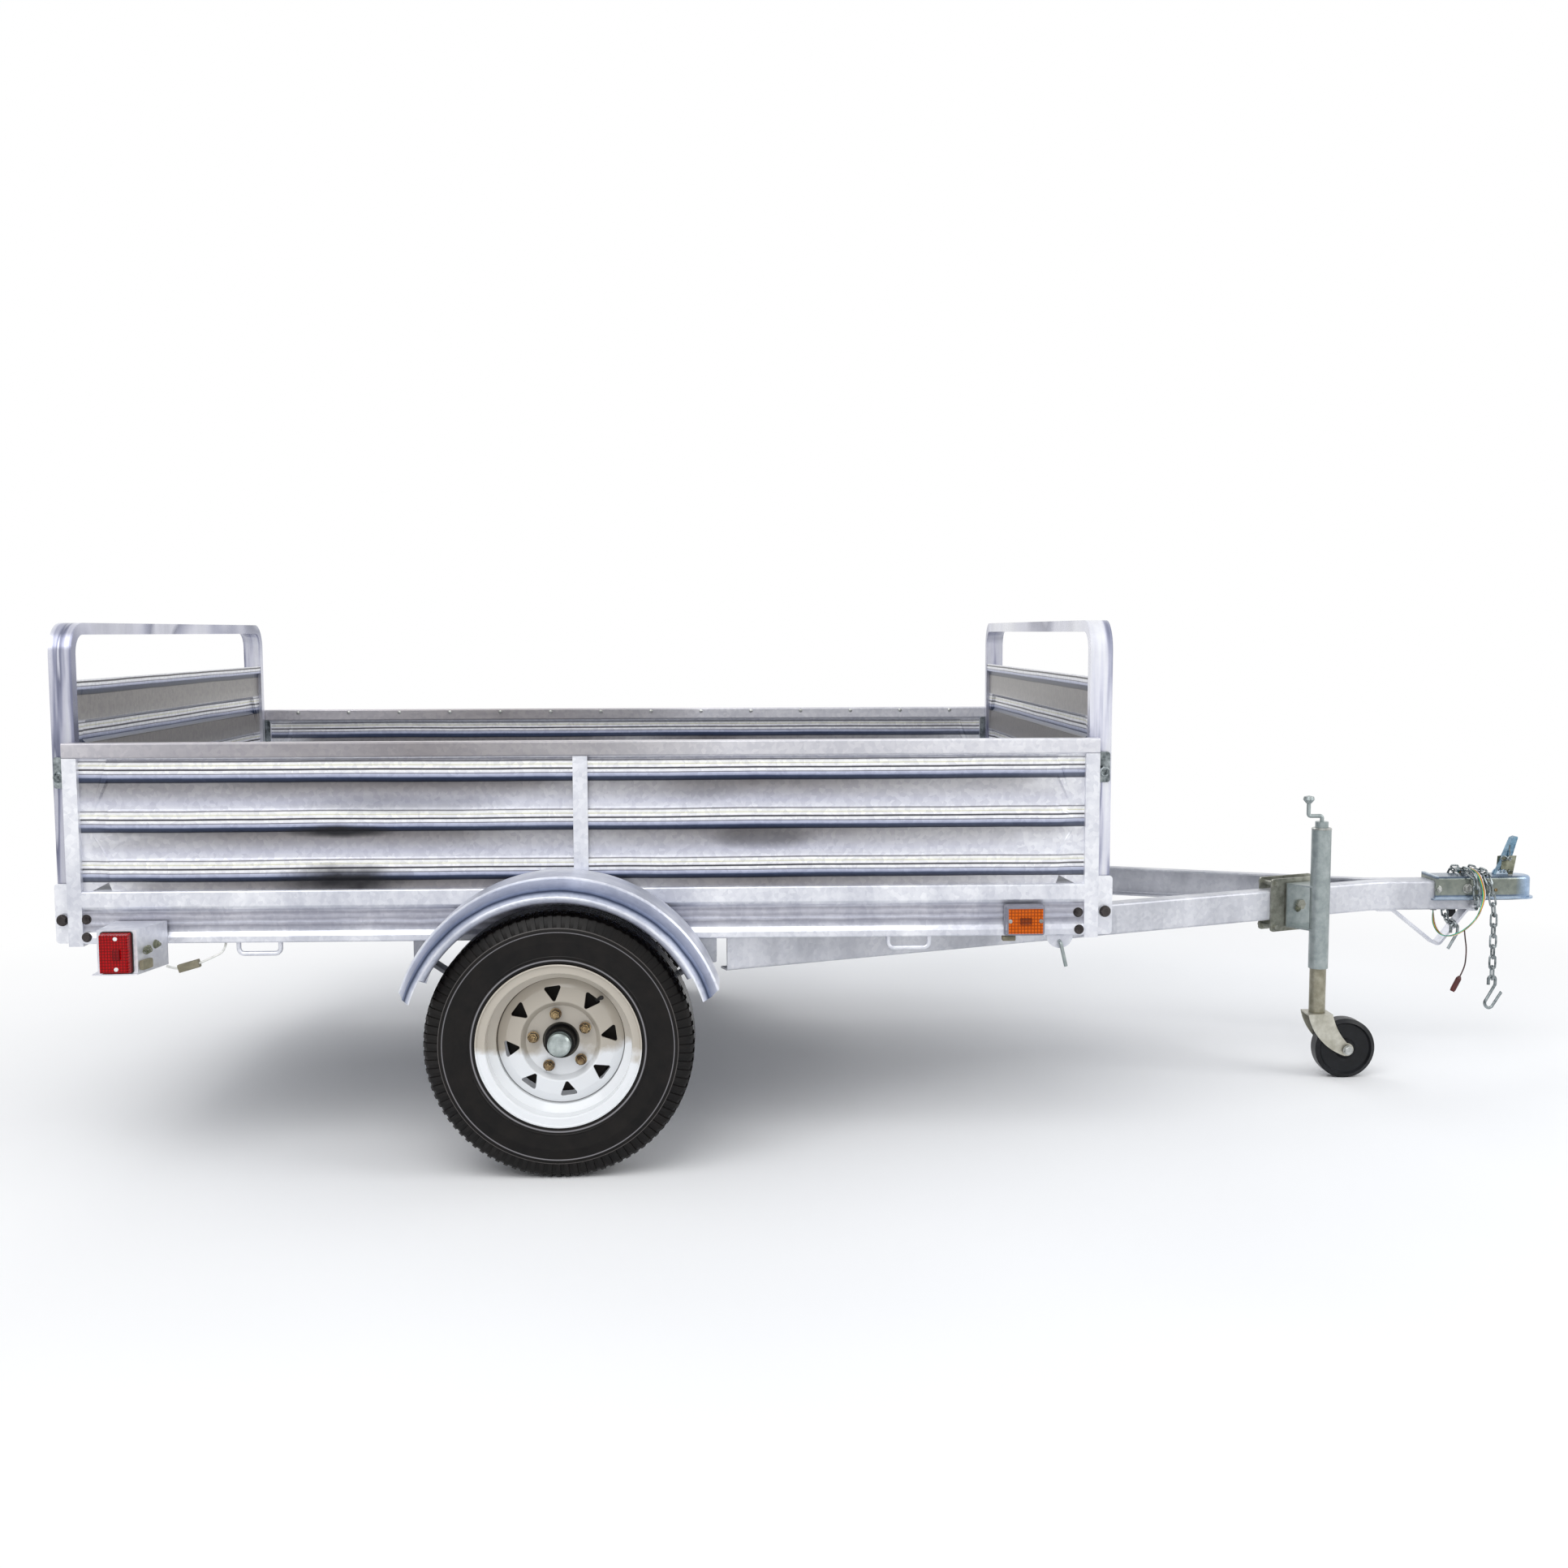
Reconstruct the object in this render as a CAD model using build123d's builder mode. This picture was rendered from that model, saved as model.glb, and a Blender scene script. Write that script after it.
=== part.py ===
from build123d import *
import math
import os

os.makedirs("parts", exist_ok=True)

# A single-axle utility trailer with ribbed sheet sides and a folding gate at each end, in millimetres.
# +X points to the coupler, +Y to the trailer's left, +Z up. The origin is on the ground, midway
# between the rear hinge brackets and the coupler's nose. Distances along X are given from the axle.

# bed and frame
BED_REAR = 1043.0            # axle to the rear posts' back edge
BED_FRONT = 1143.0           # axle to the front posts' front edge
BED_HALF = 755.0             # centre line to the outer face of rails and posts
DECK_Z = 577.0               # top of the frame, under the floor sheet
FRAME_HEIGHT = 112.0
FRAME_FLANGE = 40.0          # side rail's top and bottom flange
FRAME_WALL = 3.0
GROOVE_DEPTH = 7.0           # pressed groove along the side rail
GROOVE_SLOPE = 10.0
RAIL_BAND = 31.0             # flat band above the groove
RAIL_LIP = 12.0              # flat band below it
SIDE_HEIGHT = 313.0          # deck to the top of the sides
FLOOR_SHEET = 2.0
TOP_RAIL_WIDTH = 28.0
TOP_RAIL_HEIGHT = 32.0
TOP_RAIL_ROUND = 4.0
TUBE_WALL = 2.0
POST_LENGTH = 30.0           # along X
POST_DROP = 5.0              # post's foot below the frame rail
STAKE_X = 36.0               # mid stake's centre
STAKE_WIDTH = 31.0
END_SET = 28.0               # end rails' face inside the posts' outer edge
CROSS_COUNT = 5
CROSS_HEIGHT = 40.0
CROSS_WIDTH = 45.0
BEND = 5.0                   # centre-line radius of folded sheet
TIGHT_BEND = 3.0
FIT = 0.3                    # running gap round pins and shafts
SEAT = 0.3                   # gap between pieces that rest against each other

# ribbed sheet, on the sides and the gates
SHEET = 1.6
RIB_PITCH = 105.0
RIB_FOOT = 50.0
RIB_CREST = 34.0
RIB_DEPTH = 8.0
RIB_RUNOUT = 40.0
RIB_COUNT = 3
SIDE_RIB_DROP = 60.0         # top of the sides to the first rib's middle
PANEL_INSET = 13.0           # rails' outer face to the side sheet's flat

# gates
GATE_PIVOT_SET = 20.0        # pivot beyond the posts' outer edge
GATE_PIVOT_DROP = 64.0       # pivot below the deck
GATE_PIVOT_COVER = 12.0      # hoop's outer face beyond the pivot
GATE_RISE = 251.0            # hoop's top above the sides
GATE_SIDE_GAP = 7.0          # hoop's outer face to the posts' inner face
HOOP_DEPTH = 48.0            # tube, along X
HOOP_WIDTH = 25.0            # tube, across the leg
HOOP_RADIUS = 55.0           # tube's centre line at its top corners
LEG_TAIL = 22.0              # leg below its pivot
GATE_WINDOW = 121.0          # panel's top edge to the hoop's top
GATE_PANEL_LIFT = 15.0       # deck to the panel's foot
GATE_HEM = 20.0              # folded hem along the panel's top
GATE_HEM_DEPTH = 7.0
GATE_RIB_DROP = 112.0        # panel's top edge to the first rib's middle
GATE_SKIN = 26.0             # pivot to the panel's flat, inwards
PIVOT_BOLT_R = 6.0
PIVOT_BOLT_HEAD = 10.8
PIVOT_BOLT_GRIP = 4.0        # bolt's end inside the leg
HINGE_RISE = 77.0            # bracket's top above the pivot
HINGE_TAIL = 51.0            # bracket's foot below the pivot
HINGE_EDGE = 17.0            # bracket's edge beyond the pivot
HINGE_GAP = 5.0              # hoop's outer face to the bracket plate
HINGE_ROUND = 8.0
LATCH_DROP = 64.0            # top of the sides to the latch's middle
LATCH_HEIGHT = 66.0
LATCH_EDGE = 28.0            # bracket's edge beyond the post
LATCH_ROUND = 6.0
LATCH_PIN_R = 5.0
LATCH_PIN_LENGTH = 14.0
LATCH_PIN_SET = 14.0         # beyond the post's edge
LATCH_RING_R = 9.0
LATCH_WIRE_R = 2.0

# wheels, on a 5.30-12 tyre
TYRE_R = 278.0
TYRE_HALF = 65.0
TYRE_SHOULDER = 15.0         # tread's edge inside the widest part
TYRE_BULGE = 52.0            # tread to the widest part
WHEEL_SET = 115.0            # rails' outer face to the wheel's middle plane
RIM_R = 170.0
RIM_SEAT_R = 152.0
RIM_WELL_R = 134.0
RIM_HALF = 58.0
RIM_LIP = 4.0                # rolled edge beyond the flange
RIM_ROLL = 2.0
RIM_WALL = 3.0
RIM_BEND = 1.8
WELL_FOOT = 14.0             # middle plane to the well's wall
WELL_TOP = 24.0
DISC_WALL = 4.0
DISC_SET = 10.0              # disc's rim inside the middle plane
DOME_FOOT_R = 74.0           # raised ring round the lugs, from its foot to its top
DOME_TOP_R = 84.0
DOME_RISE = 16.0
SPOKE_R = 112.0
WINDOW_COUNT = 8
WINDOW_SIDE = 40.0
WINDOW_ROUND = 4.0
WINDOW_R = 104.0             # axle to a window's middle
WINDOW_TURN = -8.0           # degrees, pattern turned from the vertical
LUG_COUNT = 5
LUG_PCD = 114.3
LUG_TURN = -10.0
LUG_R = 11.0
LUG_HEIGHT = 15.0
LUG_HOLE_R = 7.0
STUD_R = 6.0
STUD_OUT = 22.0              # stud beyond the disc
CENTRE_BORE_R = 38.0
HUB_R = 30.0
HUB_BARREL_R = 34.0
HUB_FLANGE_R = 70.0
HUB_FLANGE = 8.0
HUB_FRONT = 34.0             # middle plane to the barrel's front
HUB_REAR = 55.0
CAP_R = 24.0
CAP_OUT = 55.0               # middle plane to the dust cap's end
CAP_WALL = 3.0
CAP_ROUND = 4.0

# axle and springs
AXLE_R = 25.0
AXLE_END_SET = 70.0          # axle bar's end to the wheel's middle plane
SPINDLE_OUT = 30.0
SPINDLE_R = 13.0
SPRING_SET = 30.0            # rails' outer face to the spring's middle
SPRING_WIDTH = 44.0
SPRING_HALF = 300.0          # axle to the spring's eye
SPRING_LEAF = 7.0
LEAF_SHARES = (1.0, 0.68, 0.4)   # each leaf's length, as a share of the main one
EYE_DROP = 40.0              # frame's underside to the eye
EYE_R = 12.0
HANGER_PLATE = 4.0
HANGER_LENGTH = 44.0
HANGER_ROUND = 4.0
U_BOLT_R = 5.0
U_BOLT_BEND = 8.0
CLAMP_PAD = 6.0              # plate under the axle

# fenders
FENDER_CLEAR = 67.0          # tread to the fender's crown
FENDER_REACH = 207.0         # rails' outer face to the skirt
FENDER_WALL = 1.6
FENDER_HALF_ANGLE = 72.0
FENDER_FLANGE = 34.0         # crown to the inner flange's foot
FENDER_SHOULDER = 6.0
FENDER_CROWN_SET = 30.0      # inner flange to the crown
FENDER_CREASE_SET = 66.0     # skirt to the crease
FENDER_CREASE = 5.0          # step down at the crease
SKIRT_DROP = 34.0            # crown to the skirt's widest
SKIRT_LIP = 12.0             # rolled lip, inwards and down
TAB_ARC = 10.0               # degrees without a lip at each end
STAY_LEG = 26.0              # fender stay, angle section
STAY_WALL = 3.0
STAY_ANGLE = 57.0            # degrees from the top
STAY_REACH = 140.0

# tongue
BEAM_HEIGHT = 76.0
BEAM_WIDTH = 38.0
BEAM_WALL = 4.0
BEAM_REAR_X = 345.0
BEAM_REAR_SET = 26.0         # rails' outer face to the beam's outer face, at its rear end
BEAM_BEND_R = 160.0
BEAM_CHAMFER = 26.0
NOSE_REACH = 2467.0          # axle to the coupler's nose
COUPLER_LENGTH = 276.0
BEND_BACK = 151.0            # coupler's rear edge back to the beams' bend
BEAM_INSIDE = 139.0          # beams' front ends inside the coupler
COUPLER_RISE = 11.0          # roof above the frame's underside
COUPLER_HEIGHT = 60.0
COUPLER_WALL = 4.0
COUPLER_FLANGE = 8.0
COUPLER_ROUND = 10.0
COUPLER_COLLAR = 3.0         # flared rear edge
COUPLER_TAPER = 40.0         # taper back from the nose
NOSE_R = 34.0
BALL_R = 25.4
BALL_GAP = 0.2
BALL_SOCKET = 26.0           # straight part of the socket
LEVER_SET = 44.0             # nose's centre back to the lever's hinge
LEVER_HEIGHT = 105.0
LEVER_LEAN = 34.0
LEVER_FOOT = 26.0
LEVER_TOP = 16.0
LEVER_HALF = 11.0
EAR_R = 15.0
EAR_WALL = 4.0
SKID_SET = 55.0              # beams' bend to the skid's rear leg
SKID_LOW = 174.0
SKID_FRONT = 250.0
SKID_DROP = 102.0
SKID_WIDTH = 40.0
SKID_BAR = 6.0
SKID_TOE = 45.0
SKID_BEND = 12.0

# jack
JACK_BACK = 218.0            # beams' bend back to the post
JACK_STANDOFF = 86.0         # beam's outer face to the post's axis
JACK_R = 24.0
JACK_CAP = 4.0
JACK_RISE = 160.0            # frame's underside to the tube's top
JACK_DROP = 188.0            # and to its foot
NECK_R = 16.0
NECK_HEIGHT = 20.0
CRANK_R = 5.0
CRANK_RISE = 14.0
CRANK_BEND = 6.0
KNOB_RISE = 60.0             # neck to the knob's middle
KNOB_OFFSET = 34.0
KNOB_R = 14.0
KNOB_HALF = 5.0
LEG_R = 20.0
LEG_WALL = 2.5
LEG_OVERLAP = 223.0          # leg inside the tube
LEG_FOOT_Z = 165.0
LEG_PLUG = 20.0
SWIVEL_LENGTH = 80.0
SWIVEL_HEIGHT = 112.0
SWIVEL_PLATE = 4.0
SWIVEL_GAP = 5.0
SWIVEL_BOLT_R = 8.0
CLAMP_LENGTH = 165.0
CLAMP_HEIGHT = 134.0
CLAMP_PLATE = 5.0
CLAMP_BOLT_R = 6.0
CLAMP_BOLT_EDGE = 12.0
CLAMP_BOLT_OUT = 9.0
CLAMP_ROUND = 8.0
NUT_HEIGHT = 8.0
CASTER_PIN_R = 8.0
CASTER_PIN_LENGTH = 14.0
CASTER_R = 75.0
CASTER_WIDTH = 44.0
CASTER_TRAIL = 68.0
CASTER_BOLT_R = 6.0
CASTER_HUB_R = 22.0
CASTER_TREAD = 14.0
CASTER_RELIEF = 6.0
FORK_CROWN = 30.0
FORK_EYE = 16.0
FORK_GAP = 5.0
FORK_WALL = 4.0
FORK_REAR_R = 140.0
FORK_FRONT_R = 150.0

# lamps and small pieces
TAIL_LAMP_SET = 109.0        # rails' outer face to the lamp's back
TAIL_LAMP_X = -903.0
TAIL_LAMP_RISE = 3.0         # lamp's middle above the frame's underside
TAIL_LAMP_WIDTH = 62.0
TAIL_LAMP_HEIGHT = 83.0
TAIL_LAMP_DEPTH = 22.0
LAMP_BOX_EDGE = 9.5          # bracket beyond the lamp
LAMP_BOX_SPLAY = 26.0        # front wall's slant
LAMP_BOX_WALL = 2.5
LAMP_LIP = 9.0
MARKER_X = 983.0
MARKER_RISE = 35.0
MARKER_WIDTH = 84.0
MARKER_HEIGHT = 64.0
MARKER_DEPTH = 20.0
LENS_DRAFT = 8.0             # degrees
LENS_ROUND = 4.0
GASKET = 3.0
GASKET_EDGE = 2.0
HOOK_REAR_X = -648.0
HOOK_FRONT_X = 735.0
HOOK_ROD_R = 5.0
HOOK_SPAN = 88.0
HOOK_DROP = 30.0
HOOK_INSET = 12.0
HOOK_BEND = 12.0
TAB_X = 1062.0
TAB_R = 29.0
TAB_PLATE = 4.0
TAB_INSET = 8.0
TAB_PIN_R = 4.0
TAB_PIN_DROP = 52.0
TAB_PIN_OUT = 12.0

# safety chains: hexagonal links of round-looking wire, laid over the coupler
WIRE = 5.5                   # in the link's plane
WIRE_HEIGHT = 4.76           # across it
LINK_INNER = 28.9            # inside length, apex to apex
LINK_HALF = 5.0              # inside half-width
PIN_SET = 3.18               # inner apex to the middle of the end bar
PIN_BACK = 4.4               # inner apex of the next link to that same point
STAPLE_R = 3.0
STAPLE_OUT = 20.0            # staple's rod beyond the beam's side
STAPLE_HALF = 10.0
CHAIN_OFF = 11.0             # chain's middle to the coupler's faces
CHAIN_TURN_R = 27.0
HANGING_LINKS = 17
TUCKED_LINKS = 15
CHAIN_EASE = 2.0             # more of it over the roof's corners
CHAIN_LIFT = 10.0            # coupler's foot up to the chain's first point
TUCK_DROP = 34.0             # beams' underside to the tucked end
ROUTE_SAMPLES = 2000
S_HOOK_R = 4.0
S_HOOK_EYE = 9.0             # hook's eye, half its width
S_HOOK_TAIL = 22.0           # straight sides of the eye
S_HOOK_BOW = 26.0
S_HOOK_DROP = 84.0
S_HOOK_TIP = 42.0
S_HOOK_SLACK = 0.6           # rod's middle above the last pin

# wiring; each route's points are (x from the axle, y, z)
BEND_SHARE = 0.45            # how much of a run an arc at its end may take
HARNESS_R = 3.5
LEAD_R = 1.8
LAMP_LEAD_R = 2.5
GROMMET_R = 9.0
PLUG_WIDTH = 22.0
PLUG_THICK = 11.0
PLUG_LENGTH = 34.0
BULLET_R = 7.0
BULLET_LENGTH = 44.0
CONNECTOR_THICK = 17.0
HARNESS_ROUTE = [(2206, 0, 383), (2206, 0, 358), (2208, -16, 334), (2213, -42, 322), (2224, -66, 324),
                 (2243, -80, 335), (2267, -81, 352), (2290, -73, 372), (2306, -66, 399), (2313, -64, 430),
                 (2308, -61, 458), (2305, -47, 481), (2302, -26, 491), (2296, 0, 494), (2295, 28, 488),
                 (2292, 51, 471), (2286, 68, 446), (2280, 73, 416), (2283, 70, 386)]
LEAD_ROUTE = [(2255, -80.5, 343.5), (2257, -81, 322), (2262, -80, 297), (2262, -79, 268), (2259, -79, 243),
              (2248, -79, 221)]
LAMP_ROUTE = [(-839, 762, 418.6), (-818, 762, 411), (-792, 762, 416), (-765, 761, 426), (-740, 757, 437),
              (-720, 751, 447), (-717, 750, 464.2)]

# worked out
SIDE_TOP_Z = DECK_Z + SIDE_HEIGHT
GATE_PIVOT_Z = DECK_Z - GATE_PIVOT_DROP
GATE_TOP_Z = SIDE_TOP_Z + GATE_RISE
GATE_PANEL_TOP_Z = GATE_TOP_Z - GATE_WINDOW
GATE_PANEL_FOOT_Z = DECK_Z + GATE_PANEL_LIFT
GATE_HALF = BED_HALF - TOP_RAIL_WIDTH - GATE_SIDE_GAP
LATCH_Z = SIDE_TOP_Z - LATCH_DROP
REAR_REACH = BED_REAR + GATE_PIVOT_SET + HINGE_EDGE
AXLE_X = (REAR_REACH - NOSE_REACH) / 2
BED_X0 = AXLE_X - BED_REAR
BED_X1 = AXLE_X + BED_FRONT
FRAME_Z = DECK_Z - FRAME_HEIGHT
FLOOR_X0 = BED_X0 + END_SET
FLOOR_X1 = BED_X1 - END_SET
RAIL_Z = SIDE_TOP_Z - TOP_RAIL_HEIGHT
PANEL_Y = BED_HALF - PANEL_INSET
BEAM_Z0 = FRAME_Z - BEAM_HEIGHT
HUB_Z = TYRE_R
WHEEL_Y = BED_HALF + WHEEL_SET
EYE_Z = FRAME_Z - EYE_DROP
SPRING_Y = BED_HALF - SPRING_SET
FENDER_R = TYRE_R + FENDER_CLEAR
FENDER_OUT = BED_HALF + FENDER_REACH
COUPLER_REAR_X = NOSE_REACH - COUPLER_LENGTH
COUPLER_TOP_Z = FRAME_Z + COUPLER_RISE
COUPLER_FOOT_Z = COUPLER_TOP_Z - COUPLER_HEIGHT
NOSE_X = AXLE_X + NOSE_REACH - NOSE_R - COUPLER_FLANGE
BEAM_BEND_X = COUPLER_REAR_X - BEND_BACK
BEAM_FRONT_X = COUPLER_REAR_X + BEAM_INSIDE
BEAM_REAR_HALF = BED_HALF - BEAM_REAR_SET
TONGUE_ANGLE = math.degrees(math.atan2(BEAM_REAR_HALF - BEAM_WIDTH, BEAM_BEND_X - BEAM_REAR_X))
TONGUE_SLOPE = math.tan(math.radians(TONGUE_ANGLE))
JACK_X = BEAM_BEND_X - JACK_BACK
JACK_Y = -(BEAM_WIDTH + JACK_BACK * TONGUE_SLOPE + JACK_STANDOFF / math.cos(math.radians(TONGUE_ANGLE)))
JACK_TOP_Z = FRAME_Z + JACK_RISE
JACK_FOOT_Z = FRAME_Z - JACK_DROP
NECK_TOP_Z = JACK_TOP_Z + NECK_HEIGHT
KNOB_Z = NECK_TOP_Z + KNOB_RISE
LEG_TOP_Z = JACK_FOOT_Z + LEG_OVERLAP
LAMP_FACE_Y = BED_HALF + TAIL_LAMP_SET
TAIL_LAMP_Z = FRAME_Z + TAIL_LAMP_RISE
MARKER_Z = FRAME_Z + MARKER_RISE
HUB_AXIS = Axis((AXLE_X, 0, HUB_Z), (0, 1, 0))


def save(solid, name):
    """Label a finished piece and write it as one STEP file"""
    solid.label = name
    export_step(solid, f"parts/{name}.step")


def save_pair(left, name):
    """Write a piece of the left side, and its mirror image for the right side"""
    save(left, f"{name}_left")
    save(left.mirror(Plane.XZ), f"{name}_right")


def both_sides(left):
    """A left-hand solid and its mirror image, as one part of two solids"""
    with BuildPart() as pair:
        add(left)
        mirror(left, about=Plane.XZ)
    return pair.part


def bent(points, bend=BEND):
    """The centre line of a folded sheet or bar, with round bends"""
    with BuildLine() as centre:
        FilletPolyline(*points, radius=bend)
    return centre.line


def save_frame():
    """Side rails, end rails, cross members and floor"""
    w = FRAME_WALL / 2
    top, foot = DECK_Z - w, FRAME_Z + w
    outer, inner = BED_HALF - w, BED_HALF - FRAME_FLANGE
    groove = outer - GROOVE_DEPTH
    with BuildPart() as side_rail:
        with BuildSketch(Plane.YZ.offset(BED_X0 + POST_LENGTH)):
            fold = bent([(inner, top), (outer, top), (outer, top - RAIL_BAND),
                         (groove, top - RAIL_BAND - GROOVE_SLOPE), (groove, foot + RAIL_LIP + GROOVE_SLOPE),
                         (outer, foot + RAIL_LIP), (outer, foot), (inner, foot)], TIGHT_BEND)
            trace(fold, line_width=FRAME_WALL)
        extrude(amount=BED_X1 - BED_X0 - 2 * POST_LENGTH)
    save_pair(side_rail.part, "side_rail")

    half = BED_HALF - FRAME_FLANGE - SEAT
    for name, face, inwards in (("rear", FLOOR_X0, 1), ("front", FLOOR_X1, -1)):
        with BuildPart() as end_rail:
            with BuildSketch(Plane.XZ.offset(-half)):
                web = face + inwards * w
                lip = face + inwards * FRAME_FLANGE
                trace(bent([(lip, top), (web, top), (web, foot), (lip, foot)]), line_width=FRAME_WALL)
            extrude(amount=2 * half)
        save(end_rail.part, f"end_rail_{name}")

    first, last = FLOOR_X0 + 2 * FRAME_FLANGE, FLOOR_X1 - 2 * FRAME_FLANGE
    pitch = (last - first) / (CROSS_COUNT - 1)
    with BuildPart() as cross_members:
        with BuildSketch(Plane.XZ.offset(-half)):
            with Locations(((first + last) / 2, DECK_Z)):
                with GridLocations(pitch, 1, CROSS_COUNT, 1):
                    Rectangle(CROSS_WIDTH, CROSS_HEIGHT, align=(Align.CENTER, Align.MAX))
            with Locations(((first + last) / 2, DECK_Z - FRAME_WALL)):
                with GridLocations(pitch, 1, CROSS_COUNT, 1):
                    Rectangle(CROSS_WIDTH - 2 * FRAME_WALL, CROSS_HEIGHT, align=(Align.CENTER, Align.MAX),
                              mode=Mode.SUBTRACT)
        extrude(amount=2 * half)
    save(cross_members.part, "cross_members")

    with BuildPart() as floor:
        with BuildSketch(Plane.XY.offset(DECK_Z)):
            with Locations(((FLOOR_X0 + FLOOR_X1) / 2, 0)):
                Rectangle(FLOOR_X1 - FLOOR_X0, 2 * (PANEL_Y - SHEET - SEAT))
        extrude(amount=FLOOR_SHEET)
        for end in (BED_X0, BED_X1):
            for side in (-1, 1):
                with Locations((end, side * BED_HALF, DECK_Z)):
                    Box(2 * (POST_LENGTH + SEAT), 2 * (BED_HALF - GATE_HALF + SEAT), 2 * FLOOR_SHEET,
                        align=(Align.CENTER, Align.CENTER, Align.MIN), mode=Mode.SUBTRACT)
    save(floor.part, "floor_sheet")


def ribbed_sheet(out, skin, low, high, z_low, z_high, first_rib):
    """A pressed sheet whose ribs stand out along `out` and run out near its two ends"""
    run = out.cross(Vector(0, 0, 1))
    # (distance along the sheet, rib's height there)
    stations = ((low, 0), (low + RIB_RUNOUT / 2, 0), (low + 1.5 * RIB_RUNOUT, RIB_DEPTH),
                (high - 1.5 * RIB_RUNOUT, RIB_DEPTH), (high - RIB_RUNOUT / 2, 0), (high, 0))
    with BuildPart() as sheet:
        for along, depth in stations:
            face = [(0, z_low)]
            for i in reversed(range(RIB_COUNT)):
                middle = first_rib - i * RIB_PITCH
                face += [(0, middle - RIB_FOOT / 2), (depth, middle - RIB_CREST / 2),
                         (depth, middle + RIB_CREST / 2), (0, middle + RIB_FOOT / 2)]
            face.append((0, z_high))
            back = [(x - SHEET, z) for x, z in reversed(face)]
            with BuildSketch(Plane(origin=out * skin + run * along, x_dir=out, z_dir=run)):
                with BuildLine():
                    Polyline(*face, *back, close=True)
                make_face()
        loft(ruled=True)
    return sheet.part


def save_sides():
    """Ribbed sides, top rails, corner posts and mid stakes"""
    side = ribbed_sheet(Vector(0, 1, 0), PANEL_Y, BED_X0 + POST_LENGTH, BED_X1 - POST_LENGTH,
                        DECK_Z, RAIL_Z, SIDE_TOP_Z - SIDE_RIB_DROP)
    save_pair(side, "side_panel")

    with BuildPart() as top_rail:
        with BuildSketch(Plane.YZ.offset(BED_X0)):
            with Locations((BED_HALF - TOP_RAIL_WIDTH / 2, SIDE_TOP_Z - TOP_RAIL_HEIGHT / 2)):
                RectangleRounded(TOP_RAIL_WIDTH, TOP_RAIL_HEIGHT, TOP_RAIL_ROUND)
                RectangleRounded(TOP_RAIL_WIDTH - 2 * TUBE_WALL, TOP_RAIL_HEIGHT - 2 * TUBE_WALL,
                                 TOP_RAIL_ROUND - TUBE_WALL, mode=Mode.SUBTRACT)
        extrude(amount=BED_X1 - BED_X0)
    save_pair(top_rail.part, "top_rail")

    foot = FRAME_Z - POST_DROP
    with BuildPart() as posts:
        with BuildSketch(Plane.XY.offset(foot)):
            for middle in (BED_X0 + POST_LENGTH / 2, BED_X1 - POST_LENGTH / 2):
                with Locations((middle, BED_HALF - TOP_RAIL_WIDTH / 2)):
                    Rectangle(POST_LENGTH, TOP_RAIL_WIDTH)
                    Rectangle(POST_LENGTH - 2 * TUBE_WALL, TOP_RAIL_WIDTH - 2 * TUBE_WALL, mode=Mode.SUBTRACT)
        extrude(amount=RAIL_Z - foot)
    save(both_sides(posts.part), "corner_posts")

    with BuildPart() as stake:
        with BuildSketch(Plane.XY.offset(DECK_Z)):
            with Locations((AXLE_X + STAKE_X, (BED_HALF + PANEL_Y + RIB_DEPTH + SEAT) / 2)):
                Rectangle(STAKE_WIDTH, BED_HALF - PANEL_Y - RIB_DEPTH - SEAT)
        extrude(amount=RAIL_Z - DECK_Z)
    save(both_sides(stake.part), "mid_stakes")


def save_gate(name, out, bed_end):
    """A gate: the bent-tube hoop, turning on its two pivots, and the ribbed panel between its legs"""
    pivot_x = bed_end + out * GATE_PIVOT_SET
    hoop_x = pivot_x + out * (GATE_PIVOT_COVER - HOOP_DEPTH / 2)
    centre = GATE_HALF - HOOP_WIDTH / 2
    foot = GATE_PIVOT_Z - LEG_TAIL
    crown = GATE_TOP_Z - HOOP_WIDTH / 2
    with BuildPart() as hoop:
        with BuildLine(Plane.YZ.offset(hoop_x)):
            FilletPolyline((-centre, foot), (-centre, crown), (centre, crown), (centre, foot),
                           radius=HOOP_RADIUS)
        with BuildSketch(Plane.XY.offset(foot)):
            with Locations((hoop_x, -centre)):
                Rectangle(HOOP_DEPTH, HOOP_WIDTH)
                Rectangle(HOOP_DEPTH - 2 * TUBE_WALL, HOOP_WIDTH - 2 * TUBE_WALL, mode=Mode.SUBTRACT)
        sweep()
        with BuildSketch(Plane.XZ.offset(-GATE_HALF)):
            with Locations((pivot_x, GATE_PIVOT_Z)):
                Circle(PIVOT_BOLT_R + FIT)
        extrude(amount=2 * GATE_HALF, mode=Mode.SUBTRACT)
    save(hoop.part, f"{name}_gate_hoop")

    inner = GATE_HALF - HOOP_WIDTH
    skin = pivot_x - out * GATE_SKIN
    sheet = ribbed_sheet(Vector(out, 0, 0), out * skin, -inner, inner,
                         GATE_PANEL_FOOT_Z, GATE_PANEL_TOP_Z, GATE_PANEL_TOP_Z - GATE_RIB_DROP)
    with BuildPart() as panel:
        add(sheet)
        hem_x = skin - out * (GATE_HEM_DEPTH + SHEET) / 2
        with Locations((hem_x, 0, GATE_PANEL_TOP_Z)):
            Box(GATE_HEM_DEPTH + SHEET, 2 * inner, GATE_HEM, align=(Align.CENTER, Align.CENTER, Align.MAX))
    save(panel.part, f"{name}_gate_panel")


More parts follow.
